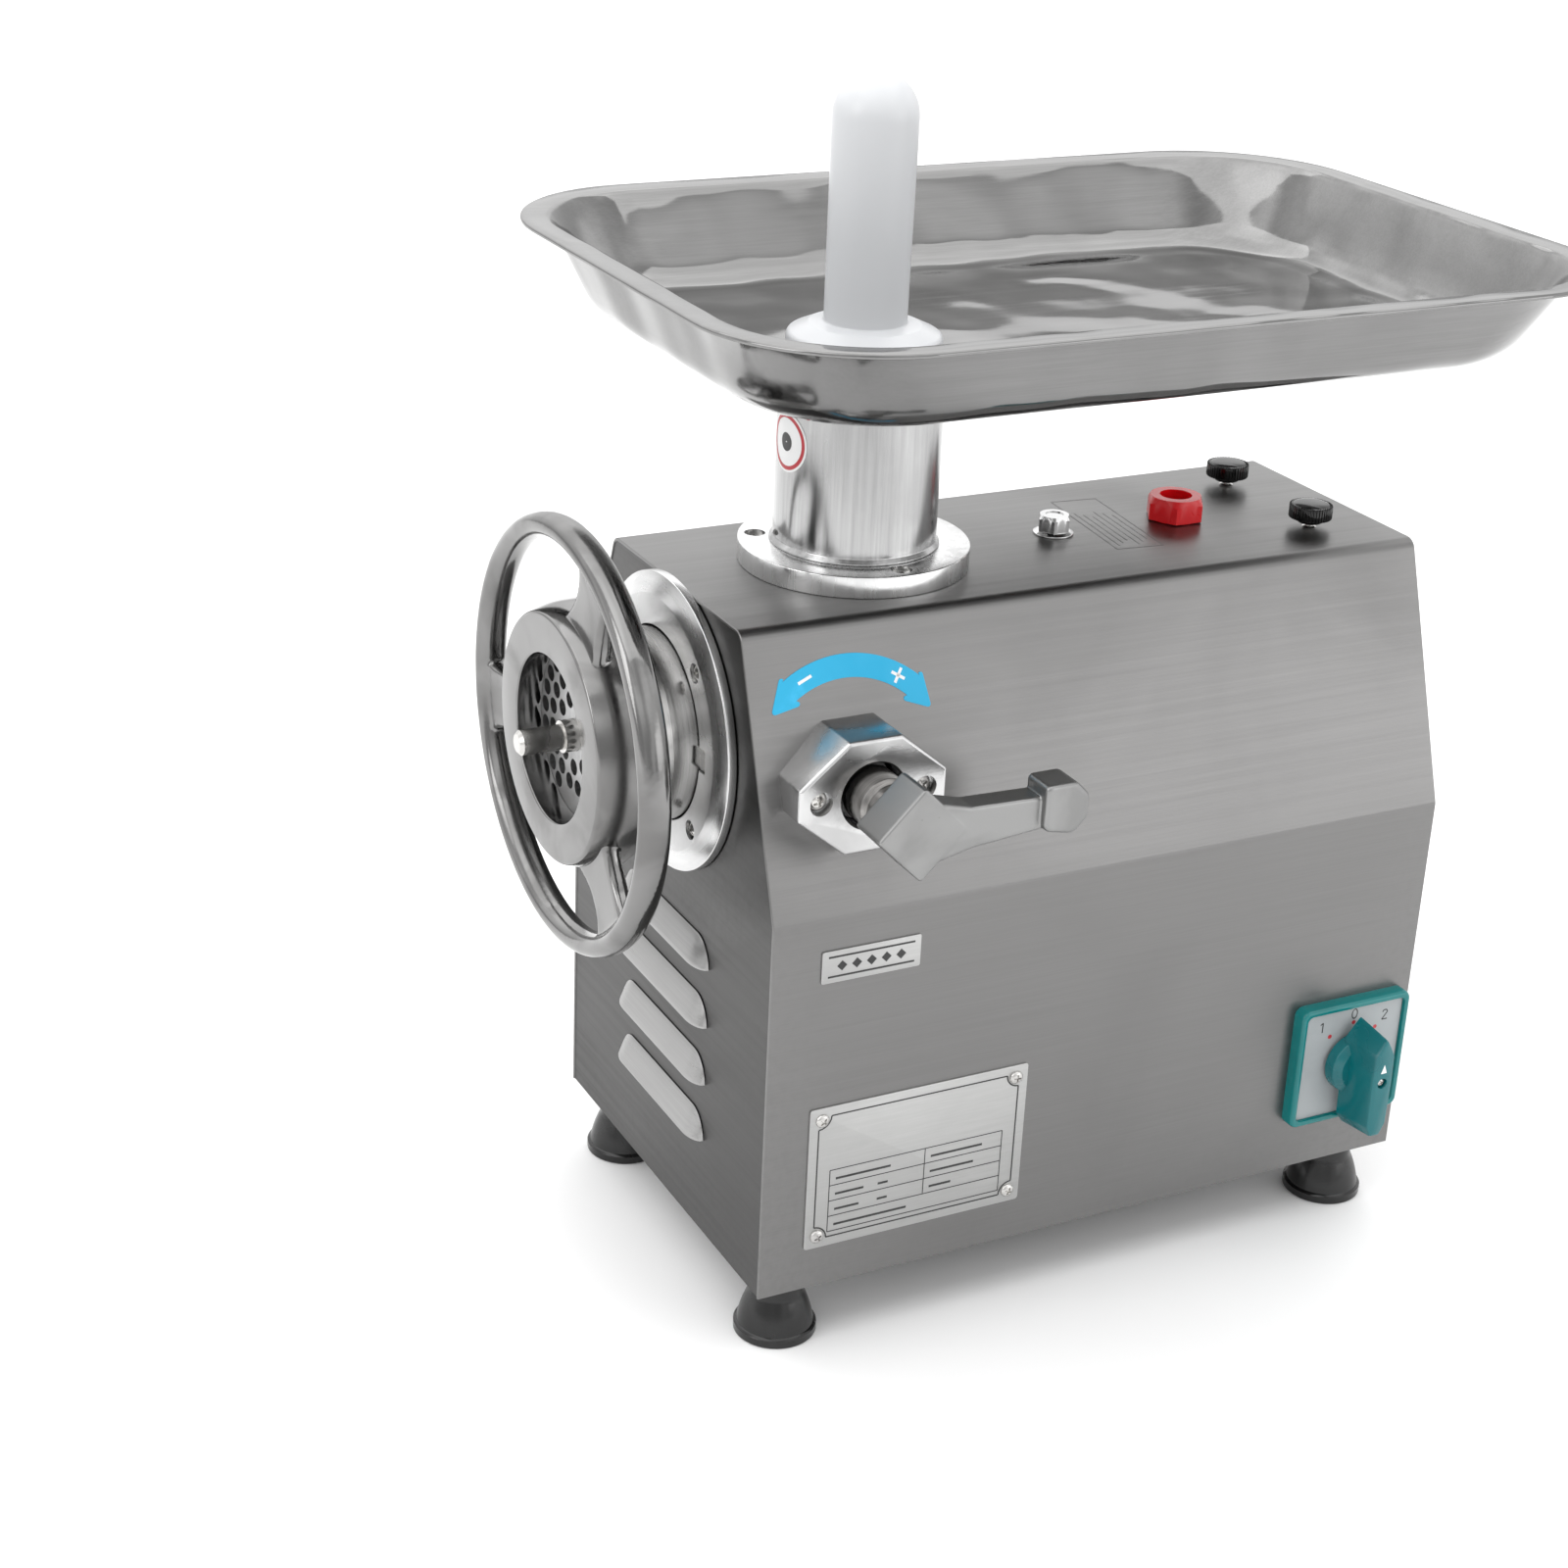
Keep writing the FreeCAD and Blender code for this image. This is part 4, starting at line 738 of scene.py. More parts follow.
def scatterHeads(name, head, places, axis, turnSeed, body, replaced, finish="screwSteel"):
    # copies of one head at several places, each turned differently
    source = bmesh.new()
    source.from_mesh(head.data)
    gathered = bmesh.new()
    lift = Vector((0, 0, 1)).rotation_difference(Vector(axis)).to_matrix().to_4x4()
    for index, spot in enumerate(places):
        spin = Matrix.Rotation(turnSeed + index * 1.9, 4, "Z")
        copy = source.copy()
        copy.transform(Matrix.Translation(spot) @ lift @ spin)
        mesh = bpy.data.meshes.new("copy")
        copy.to_mesh(mesh)
        gathered.from_mesh(mesh)
        bpy.data.meshes.remove(mesh)
        copy.free()
    source.free()
    piece = toObject(name, gathered, 50)
    bpy.data.objects.remove(head)
    return finishPiece(piece, body, "zinc_steel", finishes[finish], replaced)


def aroundShaft(radius, degrees, x):
    angle = math.radians(degrees)
    return at(x, -radius * math.sin(angle), shaftHeight + radius * math.cos(angle))


# collar and grinding head
collar = dict(face=56.2, rim=65.5, thickness=6.5, rimWidth=3.8, bore=42.5, screwCircle=50.5, seat=4.3,
              screwAngles=(45, 135, 225, 315), notchWide=4.5, notchHigh=5.3, notchPlace=44.0)


def buildCollar():
    c = collar
    profile = roundLoop([(0, c["bore"]), (0, c["face"]), (c["thickness"] - c["rimWidth"], c["rim"]),
                         (c["thickness"], c["rim"]), (c["thickness"], c["bore"])],
                        [0.8, 0.7, 0.6, 0.3, 0.2], 3)
    bm = bmesh.new()
    lathe(bm, [(p.x, p.y) for p in profile], at(-c["thickness"], 0, shaftHeight), (1, 0, 0), 160,
          closed=True)
    piece = toObject("frontCollar", bm, 28)
    cutters = [rodCutter(aroundShaft(c["screwCircle"], a, -c["thickness"] - 3), (1, 0, 0), c["seat"], 6.0)
               for a in c["screwAngles"]]
    notch = bmesh.new()
    corners = roundLoop(rectangle(c["notchWide"], c["notchHigh"]), 1.2, 3)
    rings = [[notch.verts.new(at(x, p.x - c["notchPlace"], p.y + shaftHeight)) for p in corners]
             for x in (-9.0, -1.5)]
    ringFaces(notch, rings, capFirst=True, capLast=True)
    block = toObject("notch", notch)
    carve(piece, cutters + [block], 28)
    return finishPiece(piece, "root", "machined_aluminium", finishes["collarTurned"], "front_collar")


buildCollar()
scatterHeads("collarScrewHeads", buildScrewHead(3.6, 2.2),
             [aroundShaft(collar["screwCircle"], a, -collar["thickness"] + 2.7)
              for a in collar["screwAngles"]],
             (-1, 0, 0), 0.4, "root", "collar_screws")
nodes["grinding_head"].data.materials[0] = finishes["barrelTurned"]

wheel = dict(plane=-48.0, radius=90.0, deep=7.2, high=5.3, front=-57.0, back=-34.0, hub=54.0,
             hubBack=58.0, mouth=36.5,
             thread=47.3, spoke=12.0, flare=5.0, web=7.5, first=21.0, spokes=3)


def buildHub(bm, trim, sink):
    # the nut's turned body; trim shortens it and sink makes it smaller
    w = wheel
    depth = w["back"] - w["front"]
    hub = roundLoop([(trim, w["mouth"]), (trim, w["hub"] - sink),
                     (depth * 0.45, w["hubBack"] - 0.8 - sink),
                     (depth - trim * 0.6, w["hubBack"] - sink), (depth - trim * 0.6, w["thread"]),
                     (12.0, w["thread"]),
                     (12.0, w["mouth"])], [0.9, 1.8, 30.0, 2.2, 0.6, 0.3, 0.3], 5)
    lathe(bm, [(p.x, p.y) for p in hub], at(w["front"], 0, shaftHeight), (1, 0, 0), 160, closed=True)


def buildHandwheel():
    w = wheel
    bm = bmesh.new()
    rim = [(w["deep"] * math.cos(2 * math.pi * k / 28),
            w["radius"] + w["high"] * math.sin(2 * math.pi * k / 28))
           for k in range(28)]
    lathe(bm, rim, at(w["plane"], 0, shaftHeight), (1, 0, 0), 160, closed=True)
    buildHub(bm, 3.0, 0.25)
    for k in range(w["spokes"]):
        angle = math.radians(w["first"] + 360 / w["spokes"] * k)
        outward = Vector((0, -math.sin(angle), math.cos(angle)))
        sideways = outward.cross(Vector((1, 0, 0)))
        inner, outer = w["hub"] - 4, w["radius"] - 1
        side = []
        for step in range(17):
            t = step / 16
            flare = w["flare"] * ((1 - t) ** 3.2 * 1.5 + t ** 3.2 * 1.2)
            side.append((inner + (outer - inner) * t, w["spoke"] + flare))
        shape = [Vector((-half, radius)) for radius, half in reversed(side)]
        shape = shape + [Vector((half, radius)) for radius, half in side]
        rings = []
        for inset, height in ((1.6, -w["web"] / 2), (0.4, -w["web"] / 2 + 1.2), (0.0, 0.0),
                              (0.4, w["web"] / 2 - 1.2), (1.6, w["web"] / 2)):
            loop = offsetLoop(shape, inset) if inset else shape
            ring = []
            for p in loop:
                bowl = 1.6 * math.sin(math.pi * min(1.0, max(0.0, (p.y - inner) / (outer - inner))))
                spot = at(w["plane"], 0, shaftHeight) + (sideways * p.x + outward * p.y) * mm
                ring.append(bm.verts.new(spot + Vector((height + bowl, 0, 0)) * mm))
            rings.append(ring)
        ringFaces(bm, rings, capFirst=True, capLast=True)
    piece = toObject("handwheelRim", bm, 180)
    castBlend(piece, 0.9, 5)
    finishPiece(piece, "ring_nut", "cast_steel", finishes["castPolished"], "ring_nut")
    bm = bmesh.new()
    buildHub(bm, 0.0, 0.0)
    finishPiece(toObject("handwheelHub", bm, 30), "ring_nut", "cast_steel", finishes["castPolished"])


buildHandwheel()
nodes["grinding_plate"].data.materials[0] = finishes["toolSteel"]
print("head built")

nodes["auger"].data.materials[0] = finishes["screwSteel"]

# neck, tray and pusher
neck = dict(radius=35.5, bore=31.0, flange=50.5, flangeThick=9.5, weld=1.4, screwCircle=43.0)
trayShape = dict(halfLength=211.0, halfWidth=150.0, corner=70.0, lip=13.0, floorHalfLength=183.0,
                 floorHalfWidth=117.0, floorCorner=58.0, sheet=1.2)
trayLow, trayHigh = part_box("tray")
trayCentre = ((trayLow.x + trayHigh.x) / 2 - shellLow.x) / mm
rimHeight = (trayHigh.z - shellLow.z) / mm
neckTop = (neckHigh.z - shellLow.z) / mm
floorHeight = neckTop + trayShape["sheet"]


def buildNeck():
    n = neck
    top = housing["height"] + n["flangeThick"]
    height = neckTop - top
    tubeWall = roundLoop([(0, n["bore"]), (0, n["radius"] + n["weld"]), (0.7, n["radius"] + n["weld"]),
                          (2.6, n["radius"]), (height, n["radius"]), (height, n["bore"])],
                         [0.1, 0.3, 0.4, 1.0, 0.6, 0.4], 4)
    bm = bmesh.new()
    lathe(bm, [(p.x, p.y) for p in tubeWall], at(neckPlace, 0, top), (0, 0, 1), 144, closed=True)
    piece = toObject("neckTube", bm, 30)
    finishPiece(piece, "root", "machined_aluminium", finishes["neckTurned"], "feed_neck")
    flange = roundLoop([(0, n["radius"] - 1), (0, n["flange"]), (n["flangeThick"], n["flange"]),
                        (n["flangeThick"], n["radius"] - 1)], [0.1, 0.4, 0.5, 0.1], 3)
    bm = bmesh.new()
    lathe(bm, [(p.x, p.y) for p in flange], at(neckPlace, 0, housing["height"]), (0, 0, 1), 144,
          closed=True)
    ring = toObject("neckFlange", bm, 30)
    spots = []
    for degrees in (-90, 30, 150):
        angle = math.radians(degrees)
        spots.append(at(neckPlace + n["screwCircle"] * math.cos(angle),
                        n["screwCircle"] * math.sin(angle), top))
    carve(ring, [rodCutter(spot + Vector((0, 0, 2 * mm)), (0, 0, -1), 4.6, 6.0) for spot in spots], 30)
    finishPiece(ring, "root", "machined_aluminium", finishes["flangeTurned"], "neck_flange")
    scatterHeads("flangeScrewHeads", buildScrewHead(4.1, 2.6),
                 [spot - Vector((0, 0, 4 * mm)) for spot in spots],
                 (0, 0, 1), 0.8, "root", "neck_flange_screws")


buildNeck()


def trayLoop(halfLength, halfWidth, corner, arcSteps=14, sideSteps=10):
    loop = []
    for quarter, (signX, signY) in enumerate(((1, 1), (-1, 1), (-1, -1), (1, -1))):
        centre = Vector((signX * (halfLength - corner), signY * (halfWidth - corner)))
        for step in range(arcSteps + 1):
            angle = math.pi / 2 * (quarter + step / arcSteps)
            loop.append(centre + Vector((math.cos(angle), math.sin(angle))) * corner)
        last = loop[-1]
        nextSign = ((1, 1), (-1, 1), (-1, -1), (1, -1))[(quarter + 1) % 4]
        nextCentre = Vector((nextSign[0] * (halfLength - corner), nextSign[1] * (halfWidth - corner)))
        nextAngle = math.pi / 2 * (quarter + 1)
        following = nextCentre + Vector((math.cos(nextAngle), math.sin(nextAngle))) * corner
        for step in range(1, sideSteps):
            loop.append(last.lerp(following, step / sideSteps))
    return loop


def buildTray():
    t = trayShape
    rimZ = rimHeight - 0.1
    rim = (t["halfLength"], t["halfWidth"], t["corner"])
    lipIn = tuple(v - t["lip"] for v in rim)
    floor = (t["floorHalfLength"], t["floorHalfWidth"], t["floorCorner"])

    def shrink(shape, distance):
        return tuple(v - distance for v in shape)

    def between(first, second, share):
        return tuple(a + (b - a) * share for a, b in zip(first, second))

    levels = [(shrink(rim, 0.9), rimZ - 2.2), (shrink(rim, 0.2), rimZ - 1.9), (rim, rimZ - 1.1),
              (shrink(rim, 0.3), rimZ - 0.35), (shrink(rim, 1.1), rimZ), (shrink(rim, 6.0), rimZ - 0.15),
              (shrink(lipIn, -2.2), rimZ - 0.3), (shrink(lipIn, -0.8), rimZ - 0.7),
              (shrink(lipIn, 0.2), rimZ - 1.7),
              (between(lipIn, floor, 0.10), rimZ - 4.2)]
    wallEnd = 0.72
    for share in (0.25, 0.42, 0.58, wallEnd):
        levels.append((between(lipIn, floor, share), rimZ + (floorHeight - rimZ) * share))
    start = between(lipIn, floor, wallEnd)
    startZ = rimZ + (floorHeight - rimZ) * wallEnd
    end = shrink(floor, 14.0)
    for step in range(1, 9):
        s = step / 8
        size = tuple((1 - s) ** 2 * a + 2 * s * (1 - s) * b + s * s * c for a, b,
                     c in zip(start, floor, end))
        levels.append((size, (1 - s) ** 2 * startZ + 2 * s * (1 - s) * floorHeight + s * s * floorHeight))
    bm = bmesh.new()
    rings = []
    for size, height in levels:
        rings.append([bm.verts.new(at(trayCentre + p.x, p.y, height)) for p in trayLoop(*size)])
    ringFaces(bm, rings)
    # floor with the round hole over the neck
    hole = [bm.verts.new(at(neckPlace + x, y, floorHeight)) for x, y in regular(72, neck["bore"] - 1.6)]
    edges = [bm.edges.get((rings[-1][i - 1], rings[-1][i])) for i in range(len(rings[-1]))]
    edges += [bm.edges.new((hole[i - 1], hole[i])) for i in range(len(hole))]
    bmesh.ops.triangle_fill(bm, use_beauty=True, edges=edges)
    below = [[bm.verts.new(at(neckPlace + x, y, floorHeight - d)) for x,
              y in regular(72, neck["bore"] - 1.6)]
             for d in (0.6, 8.0, 18.0)]
    ringFaces(bm, [hole] + below)
    piece = toObject("trayDish", bm, 50)
    up = sum(1 for f in piece.data.polygons if f.normal.z > 0.5 and f.area > 1e-6)
    down = sum(1 for f in piece.data.polygons if f.normal.z < -0.5 and f.area > 1e-6)
    if down > up:
        piece.data.flip_normals()
    thicken = piece.modifiers.new("thicken", "SOLIDIFY")
    thicken.thickness = t["sheet"] * mm
    thicken.offset = -1
    settle(piece, 50)
    return finishPiece(piece, "tray", "polished_steel", finishes["tray"], "tray")


buildTray()

pusher = dict(rod=18.0, collar=33.5, collarThick=9.0, plunger=28.9, depth=46.0)


def buildPusher():
    p = pusher
    low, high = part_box("pusher")
    length = (high.z - low.z) / mm
    straight = roundLoop([(0, p["plunger"] - 2.0), (0, p["plunger"]), (p["depth"], p["plunger"]),
                          (p["depth"], p["collar"]), (p["depth"] + 5.5, p["collar"] - 0.5),
                          (p["depth"] + p["collarThick"] + 0.5, p["rod"] + 6.0),
                          (p["depth"] + p["collarThick"] + 1.2, p["rod"] - 0.4),
                          (length - p["rod"], p["rod"])], [0, 1.5, 0.3, 2.2, 3.0, 2.0, 1.0, 0], 5,
                         closed=False)
    profile = [(0.0, 0.0)] + [(q.x, q.y) for q in straight]
    for step in range(1, 17):
        angle = math.pi / 2 * step / 16
        radius = 0.0 if step == 16 else p["rod"] * math.cos(angle)
        profile.append((length - p["rod"] + p["rod"] * math.sin(angle), radius))
    bm = bmesh.new()
    lathe(bm, profile, Vector((neckX, 0, low.z)), (0, 0, 1), 112)
    return finishPiece(toObject("pusherRod", bm, 40), "pusher", "white_plastic", finishes["pusherWhite"],
                       "pusher")


buildPusher()
print("neck, tray and pusher built")

# head clamp
clamp = dict(x=44.0, front=-103.0, halfWidth=34.0, halfHeight=25.0, flatWidth=12.0, flatHeight=7.0,
             bore=14.5,
             rounding=1.6, screwOffset=24.0, screwSeat=5.2)


def buildClampBoss():
    c = clamp
    outline = roundLoop([(c["halfWidth"], c["flatHeight"]), (c["flatWidth"], c["halfHeight"]),
                         (-c["flatWidth"], c["halfHeight"]), (-c["halfWidth"], c["flatHeight"]),
                         (-c["halfWidth"], -c["flatHeight"]), (-c["flatWidth"], -c["halfHeight"]),
                         (c["flatWidth"], -c["halfHeight"]), (c["halfWidth"], -c["flatHeight"])], 1.8, 4)
    bm = bmesh.new()
    slab(bm, outline, at(c["x"], c["front"] + 34, shaftHeight), (1, 0, 0), (0, 0, 1), 34.0, c["rounding"],
         4)
    piece = toObject("clampBoss", bm, 40)
    centre = at(c["x"], c["front"] - 1, shaftHeight)
    cutters = [rodCutter(centre, (0, 1, 0), c["bore"], 60, 96)]
    cutters += [rodCutter(centre + Vector((s * c["screwOffset"] * mm, 0, 0)), (0, 1, 0), c["screwSeat"],
                          6.0)
                for s in (-1, 1)]
    chamfer = bmesh.new()
    lathe(chamfer, [(0, 0), (0, c["bore"] + 1.6), (2.4, c["bore"] - 0.4), (2.4, 0)], centre, (0, 1, 0),
          96)
    cutters.append(toObject("chamfer", chamfer))
    carve(piece, cutters, 40)
    finishPiece(piece, "root", "cast_aluminium", finishes["clampCast"], "clamp_block")
    heads = [at(c["x"] + s * c["screwOffset"], c["front"] + 5, shaftHeight) for s in (-1, 1)]
    scatterHeads("clampScrewHeads", buildScrewHead(4.4, 2.8), heads, (0, -1, 0), 0.3, "root",
                 "clamp_block_screws")


buildClampBoss()
lever = dict(hubSide=29.0, hubFront=-145.0, hubDepth=20.0, reach=63.0, rise=2.5, knob=11.5,
             knobFront=-149.0,
             armBase=12.5, armEnd=7.0)


def buildLever():
    v = lever
    x0 = clamp["x"]
    half = v["hubSide"] / math.sqrt(2)
    bm = bmesh.new()
    diamond = roundLoop([(half, 0), (0, half), (-half, 0), (0, -half)], 1.6, 4)
    slab(bm, diamond, at(x0, v["hubFront"] + v["hubDepth"], shaftHeight), (1, 0, 0), (0, 0, 1),
         v["hubDepth"], 0.9, 3, 0.6)
    arm = roundLoop([(2.0, -v["armBase"] - 2), (half + 3.0, -v["armBase"] + 3.0),
                     (v["reach"] - 8, v["rise"] - v["armEnd"] - 2.0),
                     (v["reach"] + 2, v["rise"] - v["armEnd"] - 2.0),
                     (v["reach"] + 2, v["rise"] + v["armEnd"]),
                     (v["reach"] - 8, v["rise"] + v["armEnd"] - 1.5),
                     (half + 1.0, v["armEnd"] + 2.0), (2.0, v["armBase"] + 1.5)],
                    [0.5, 8.0, 3.0, 0.5, 0.5, 3.0, 5.0, 0.5], 5)
    slab(bm, arm, at(x0, v["hubFront"] + 12.5, shaftHeight), (1, 0, 0), (0, 0, 1), 12.3, 1.6, 4, 1.6)
    knobLoop = roundLoop([(-v["knob"] * 0.8, -v["knob"] * 0.75), (v["knob"] * 0.45, -v["knob"]),
                          (v["knob"], -v["knob"] * 0.4), (v["knob"], v["knob"] * 0.45),
                          (v["knob"] * 0.45, v["knob"]), (-v["knob"] * 0.8, v["knob"])],
                         [4.0, 5.0, 6.0, 5.0, 4.0, 2.5], 6)
    slab(bm, knobLoop, at(x0 + v["reach"], v["knobFront"] + 17, shaftHeight + v["rise"]), (1, 0, 0),
         (0, 0, 1),
         16.9, 1.8, 4, 1.8)
    piece = toObject("clampLever", bm, 180)
    castBlend(piece, 0.45, 3)
    return finishPiece(piece, "clamp_lever", "cast_aluminium", finishes["leverCast"], "clamp_lever")


buildLever()
spindle = dict(radius=10.4, thick=12.3, inner=9.2, shoulder=-115.0)


def buildSpindle():
    low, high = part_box("clamp_screw")
    start, end = low.y / mm, high.y / mm
    s = spindle
    shoulder = s["shoulder"] - start
    profile = roundLoop([(0, 0), (0, s["radius"]), (shoulder - 1.0, s["radius"]),
                         (shoulder, s["thick"] - 1.0),
                         (shoulder + 1.0, s["thick"]), (clamp["front"] + 4 - start, s["thick"]),
                         (clamp["front"] + 6 - start, s["inner"]), (end - start, s["inner"]),
                         (end - start, 0)],
                        [0, 0.5, 0.3, 0.4, 0.6, 0.5, 0.3, 0.3, 0], 3, closed=False)
    bm = bmesh.new()
    lathe(bm, [(p.x, p.y) for p in profile], at(clamp["x"], start, shaftHeight), (0, 1, 0), 72)
    return finishPiece(toObject("clampSpindle", bm, 35), "clamp_lever", "zinc_steel",
                       finishes["spindleSteel"],
                       "clamp_screw")


buildSpindle()
print("clamp built")

# blue arrow on the sloping side
slopeUp = Vector((0, housing["halfLow"] - housing["halfTop"],
                  housing["height"] - housing["bend"])).normalized()
slopeOut = Vector((1, 0, 0)).cross(slopeUp)
arrow = dict(radius=47.5, band=10.0, middle=85.0, halfAngle=37.0, head=16.0, headWidth=8.0, thick=0.25)
slopeShare = (shaftHeight - housing["bend"]) / (housing["height"] - housing["bend"])
halfAtArrow = housing["halfLow"] + (housing["halfTop"] - housing["halfLow"]) * slopeShare
arrowCentre = at(clamp["x"], -halfAtArrow, shaftHeight)


def polar(radius, degrees):
    return Vector((radius * math.cos(math.radians(degrees)), radius * math.sin(math.radians(degrees))))


def buildArrow():
    a = arrow
    low, high = a["middle"] - a["halfAngle"], a["middle"] + a["halfAngle"]
    inner, outer = a["radius"] - a["band"] / 2, a["radius"] + a["band"] / 2
    shape = [polar(outer, low + (high - low) * k / 28) for k in range(29)]
    shape += roundLoop([polar(a["radius"] + a["headWidth"], high - 1),
                        polar(a["radius"] - 1, high + a["head"]),
                        polar(a["radius"] - a["headWidth"], high - 1)], 1.2, 3)
    shape += [polar(inner, high - (high - low) * k / 28) for k in range(29)]
    shape += roundLoop([polar(a["radius"] - a["headWidth"], low + 1),
                        polar(a["radius"] - 1, low - a["head"]),
                        polar(a["radius"] + a["headWidth"], low + 1)], 1.2, 3)
    bm = bmesh.new()
    slab(bm, shape, arrowCentre, (1, 0, 0), slopeUp, a["thick"], 0.06, 1)
    finishPiece(toObject("clampArrow", bm, 30), "root", "blue_label", finishes["arrowBlue"],
                "arrow_label")
    # plain marks for loosen and tighten
    bm = bmesh.new()
    base = arrowCentre + slopeOut * a["thick"] * mm
    for degrees, plus in ((a["middle"] + 27, False), (a["middle"] - 27, True)):
        centre = polar(a["radius"], degrees)
        along = Vector((-math.sin(math.radians(degrees)), math.cos(math.radians(degrees))))
        bars = [(along, 3.4)]
        if plus:
            bars.append((Vector((-along.y, along.x)), 3.4))
        for way, half in bars:
            side = Vector((-way.y, way.x)) * 0.65
            loop = [centre - way * half - side, centre + way * half - side, centre + way * half + side,
                    centre - way * half + side]
            turned = loop if (loop[1] - loop[0]).cross(loop[2] - loop[1]) > 0 else list(reversed(loop))
            slab(bm, turned, base, (1, 0, 0), slopeUp, 0.05, 0.01, 1)
    finishPiece(toObject("arrowMarks", bm, 30), "root", "white_label", finishes["printWhite"])


buildArrow()

# plates
sideY = -housing["halfLow"]


def lineStrip(bm, start, end, width, origin, lift):
    way = (Vector(end) - Vector(start)).normalized()
    side = Vector((-way.y, way.x)) * width / 2
    loop = [Vector(start) - side, Vector(end) - side, Vector(end) + side, Vector(start) + side]
    slab(bm, loop, origin + Vector((0, -lift * mm, 0)), (1, 0, 0), (0, 0, 1), 0.04, 0.008, 1)


ratingPlate = dict(x=75.0, z=55.0, halfLength=54.0, halfHeight=35.0, thick=0.8, screwInset=6.0,
                   border=4.5, notch=6.0,
                   rowPitch=7.75, rows=5, lineWide=0.45, barWide=1.1)


def buildRatingPlate():
    r = ratingPlate
    origin = at(r["x"], sideY, r["z"])
    bm = bmesh.new()
    slab(bm, roundLoop(rectangle(r["halfLength"], r["halfHeight"]), 1.5, 4), origin, (1, 0, 0), (0, 0, 1),
         r["thick"], 0.2, 2)
    finishPiece(toObject("dataPlate", bm, 30), "root", "plate_aluminium", finishes["plateSilver"],
                "rating_plate")
    bm = bmesh.new()
    w, h = r["halfLength"] - r["border"], r["halfHeight"] - r["border"]
    n = r["notch"]
    corners = []
    for signX, signY, first in ((1, 1, 270), (-1, 1, 360), (-1, -1, 90), (1, -1, 180)):
        centre = Vector((signX * w, signY * h))
        arc = [centre + polar(n, first - 90 * k / 6) for k in range(7)]
        corners.append(arc)
    border = []
    for arc in corners:
        border += arc
    for i in range(len(border)):
        lineStrip(bm, border[i - 1], border[i], 0.7, origin, r["thick"])
    left, right, top, middle = -43.0, 43.0, 3.0, 4.0
    rows = [top - r["rowPitch"] * k for k in range(r["rows"])]
    for z in rows:
        lineStrip(bm, (left, z), (right, z), r["lineWide"], origin, r["thick"])
    for x in (left, right):
        lineStrip(bm, (x, rows[0]), (x, rows[-1]), r["lineWide"], origin, r["thick"])
    lineStrip(bm, (middle, rows[0]), (middle, rows[-2]), r["lineWide"], origin, r["thick"])
    # plain bars where the lines of print would be
    bars = [(left + 3, 0, 27), (middle + 3, 0, 26), (left + 3, 1, 14), (left + 24, 1, 5),
            (middle + 3, 1, 22), (left + 3, 2, 12), (left + 24, 2, 5), (middle + 3, 2, 11), (left + 3, 3, 36)]
    for x, row, length in bars:
        z = rows[row] - 4.6
        lineStrip(bm, (x, z), (x + length, z), r["barWide"], origin, r["thick"])
    finishPiece(toObject("dataPlatePrint", bm, 30), "root", "black_plastic", finishes["printBlack"])
    spots = [origin + Vector((sx * (r["halfLength"] - r["screwInset"]) * mm, -r["thick"] * mm,
                              sz * (r["halfHeight"] - r["screwInset"]) * mm)) for sx in (-1, 1)
             for sz in (-1, 1)]
    scatterHeads("dataPlateScrews", buildScrewHead(3.2, 1.7), spots, (0, -1, 0), 0.5, "root",
                 "rating_plate_screws")


buildRatingPlate()
badge = dict(x=46.5, z=157.5, halfLength=23.5, halfHeight=7.5, thick=0.8)


def buildBadge():
    b = badge
    origin = at(b["x"], sideY, b["z"])
    bm = bmesh.new()
    slab(bm, roundLoop(rectangle(b["halfLength"], b["halfHeight"]), 1.0, 3), origin, (1, 0, 0), (0, 0, 1),
         b["thick"], 0.2, 2)
    finishPiece(toObject("blankBadge", bm, 30), "root", "plate_aluminium", finishes["plateSilver"],
                "badge")
    bm = bmesh.new()
    for z in (-4.6, 4.6):
        lineStrip(bm, (-b["halfLength"] + 3, z), (b["halfLength"] - 3, z), 0.9, origin, b["thick"])
    for k in range(5):
        x = -14 + 7 * k
        loop = [Vector((x, -2.4)), Vector((x + 2.4, 0)), Vector((x, 2.4)), Vector((x - 2.4, 0))]
        slab(bm, loop, origin + Vector((0, -b["thick"] * mm, 0)), (1, 0, 0), (0, 0, 1), 0.04, 0.008, 1)
    finishPiece(toObject("badgePattern", bm, 30), "root", "black_plastic", finishes["printBlack"])


buildBadge()

# rotary switch
switch = dict(x=305.0, z=56.0, half=31.0, dial=27.6, corner=4.5)


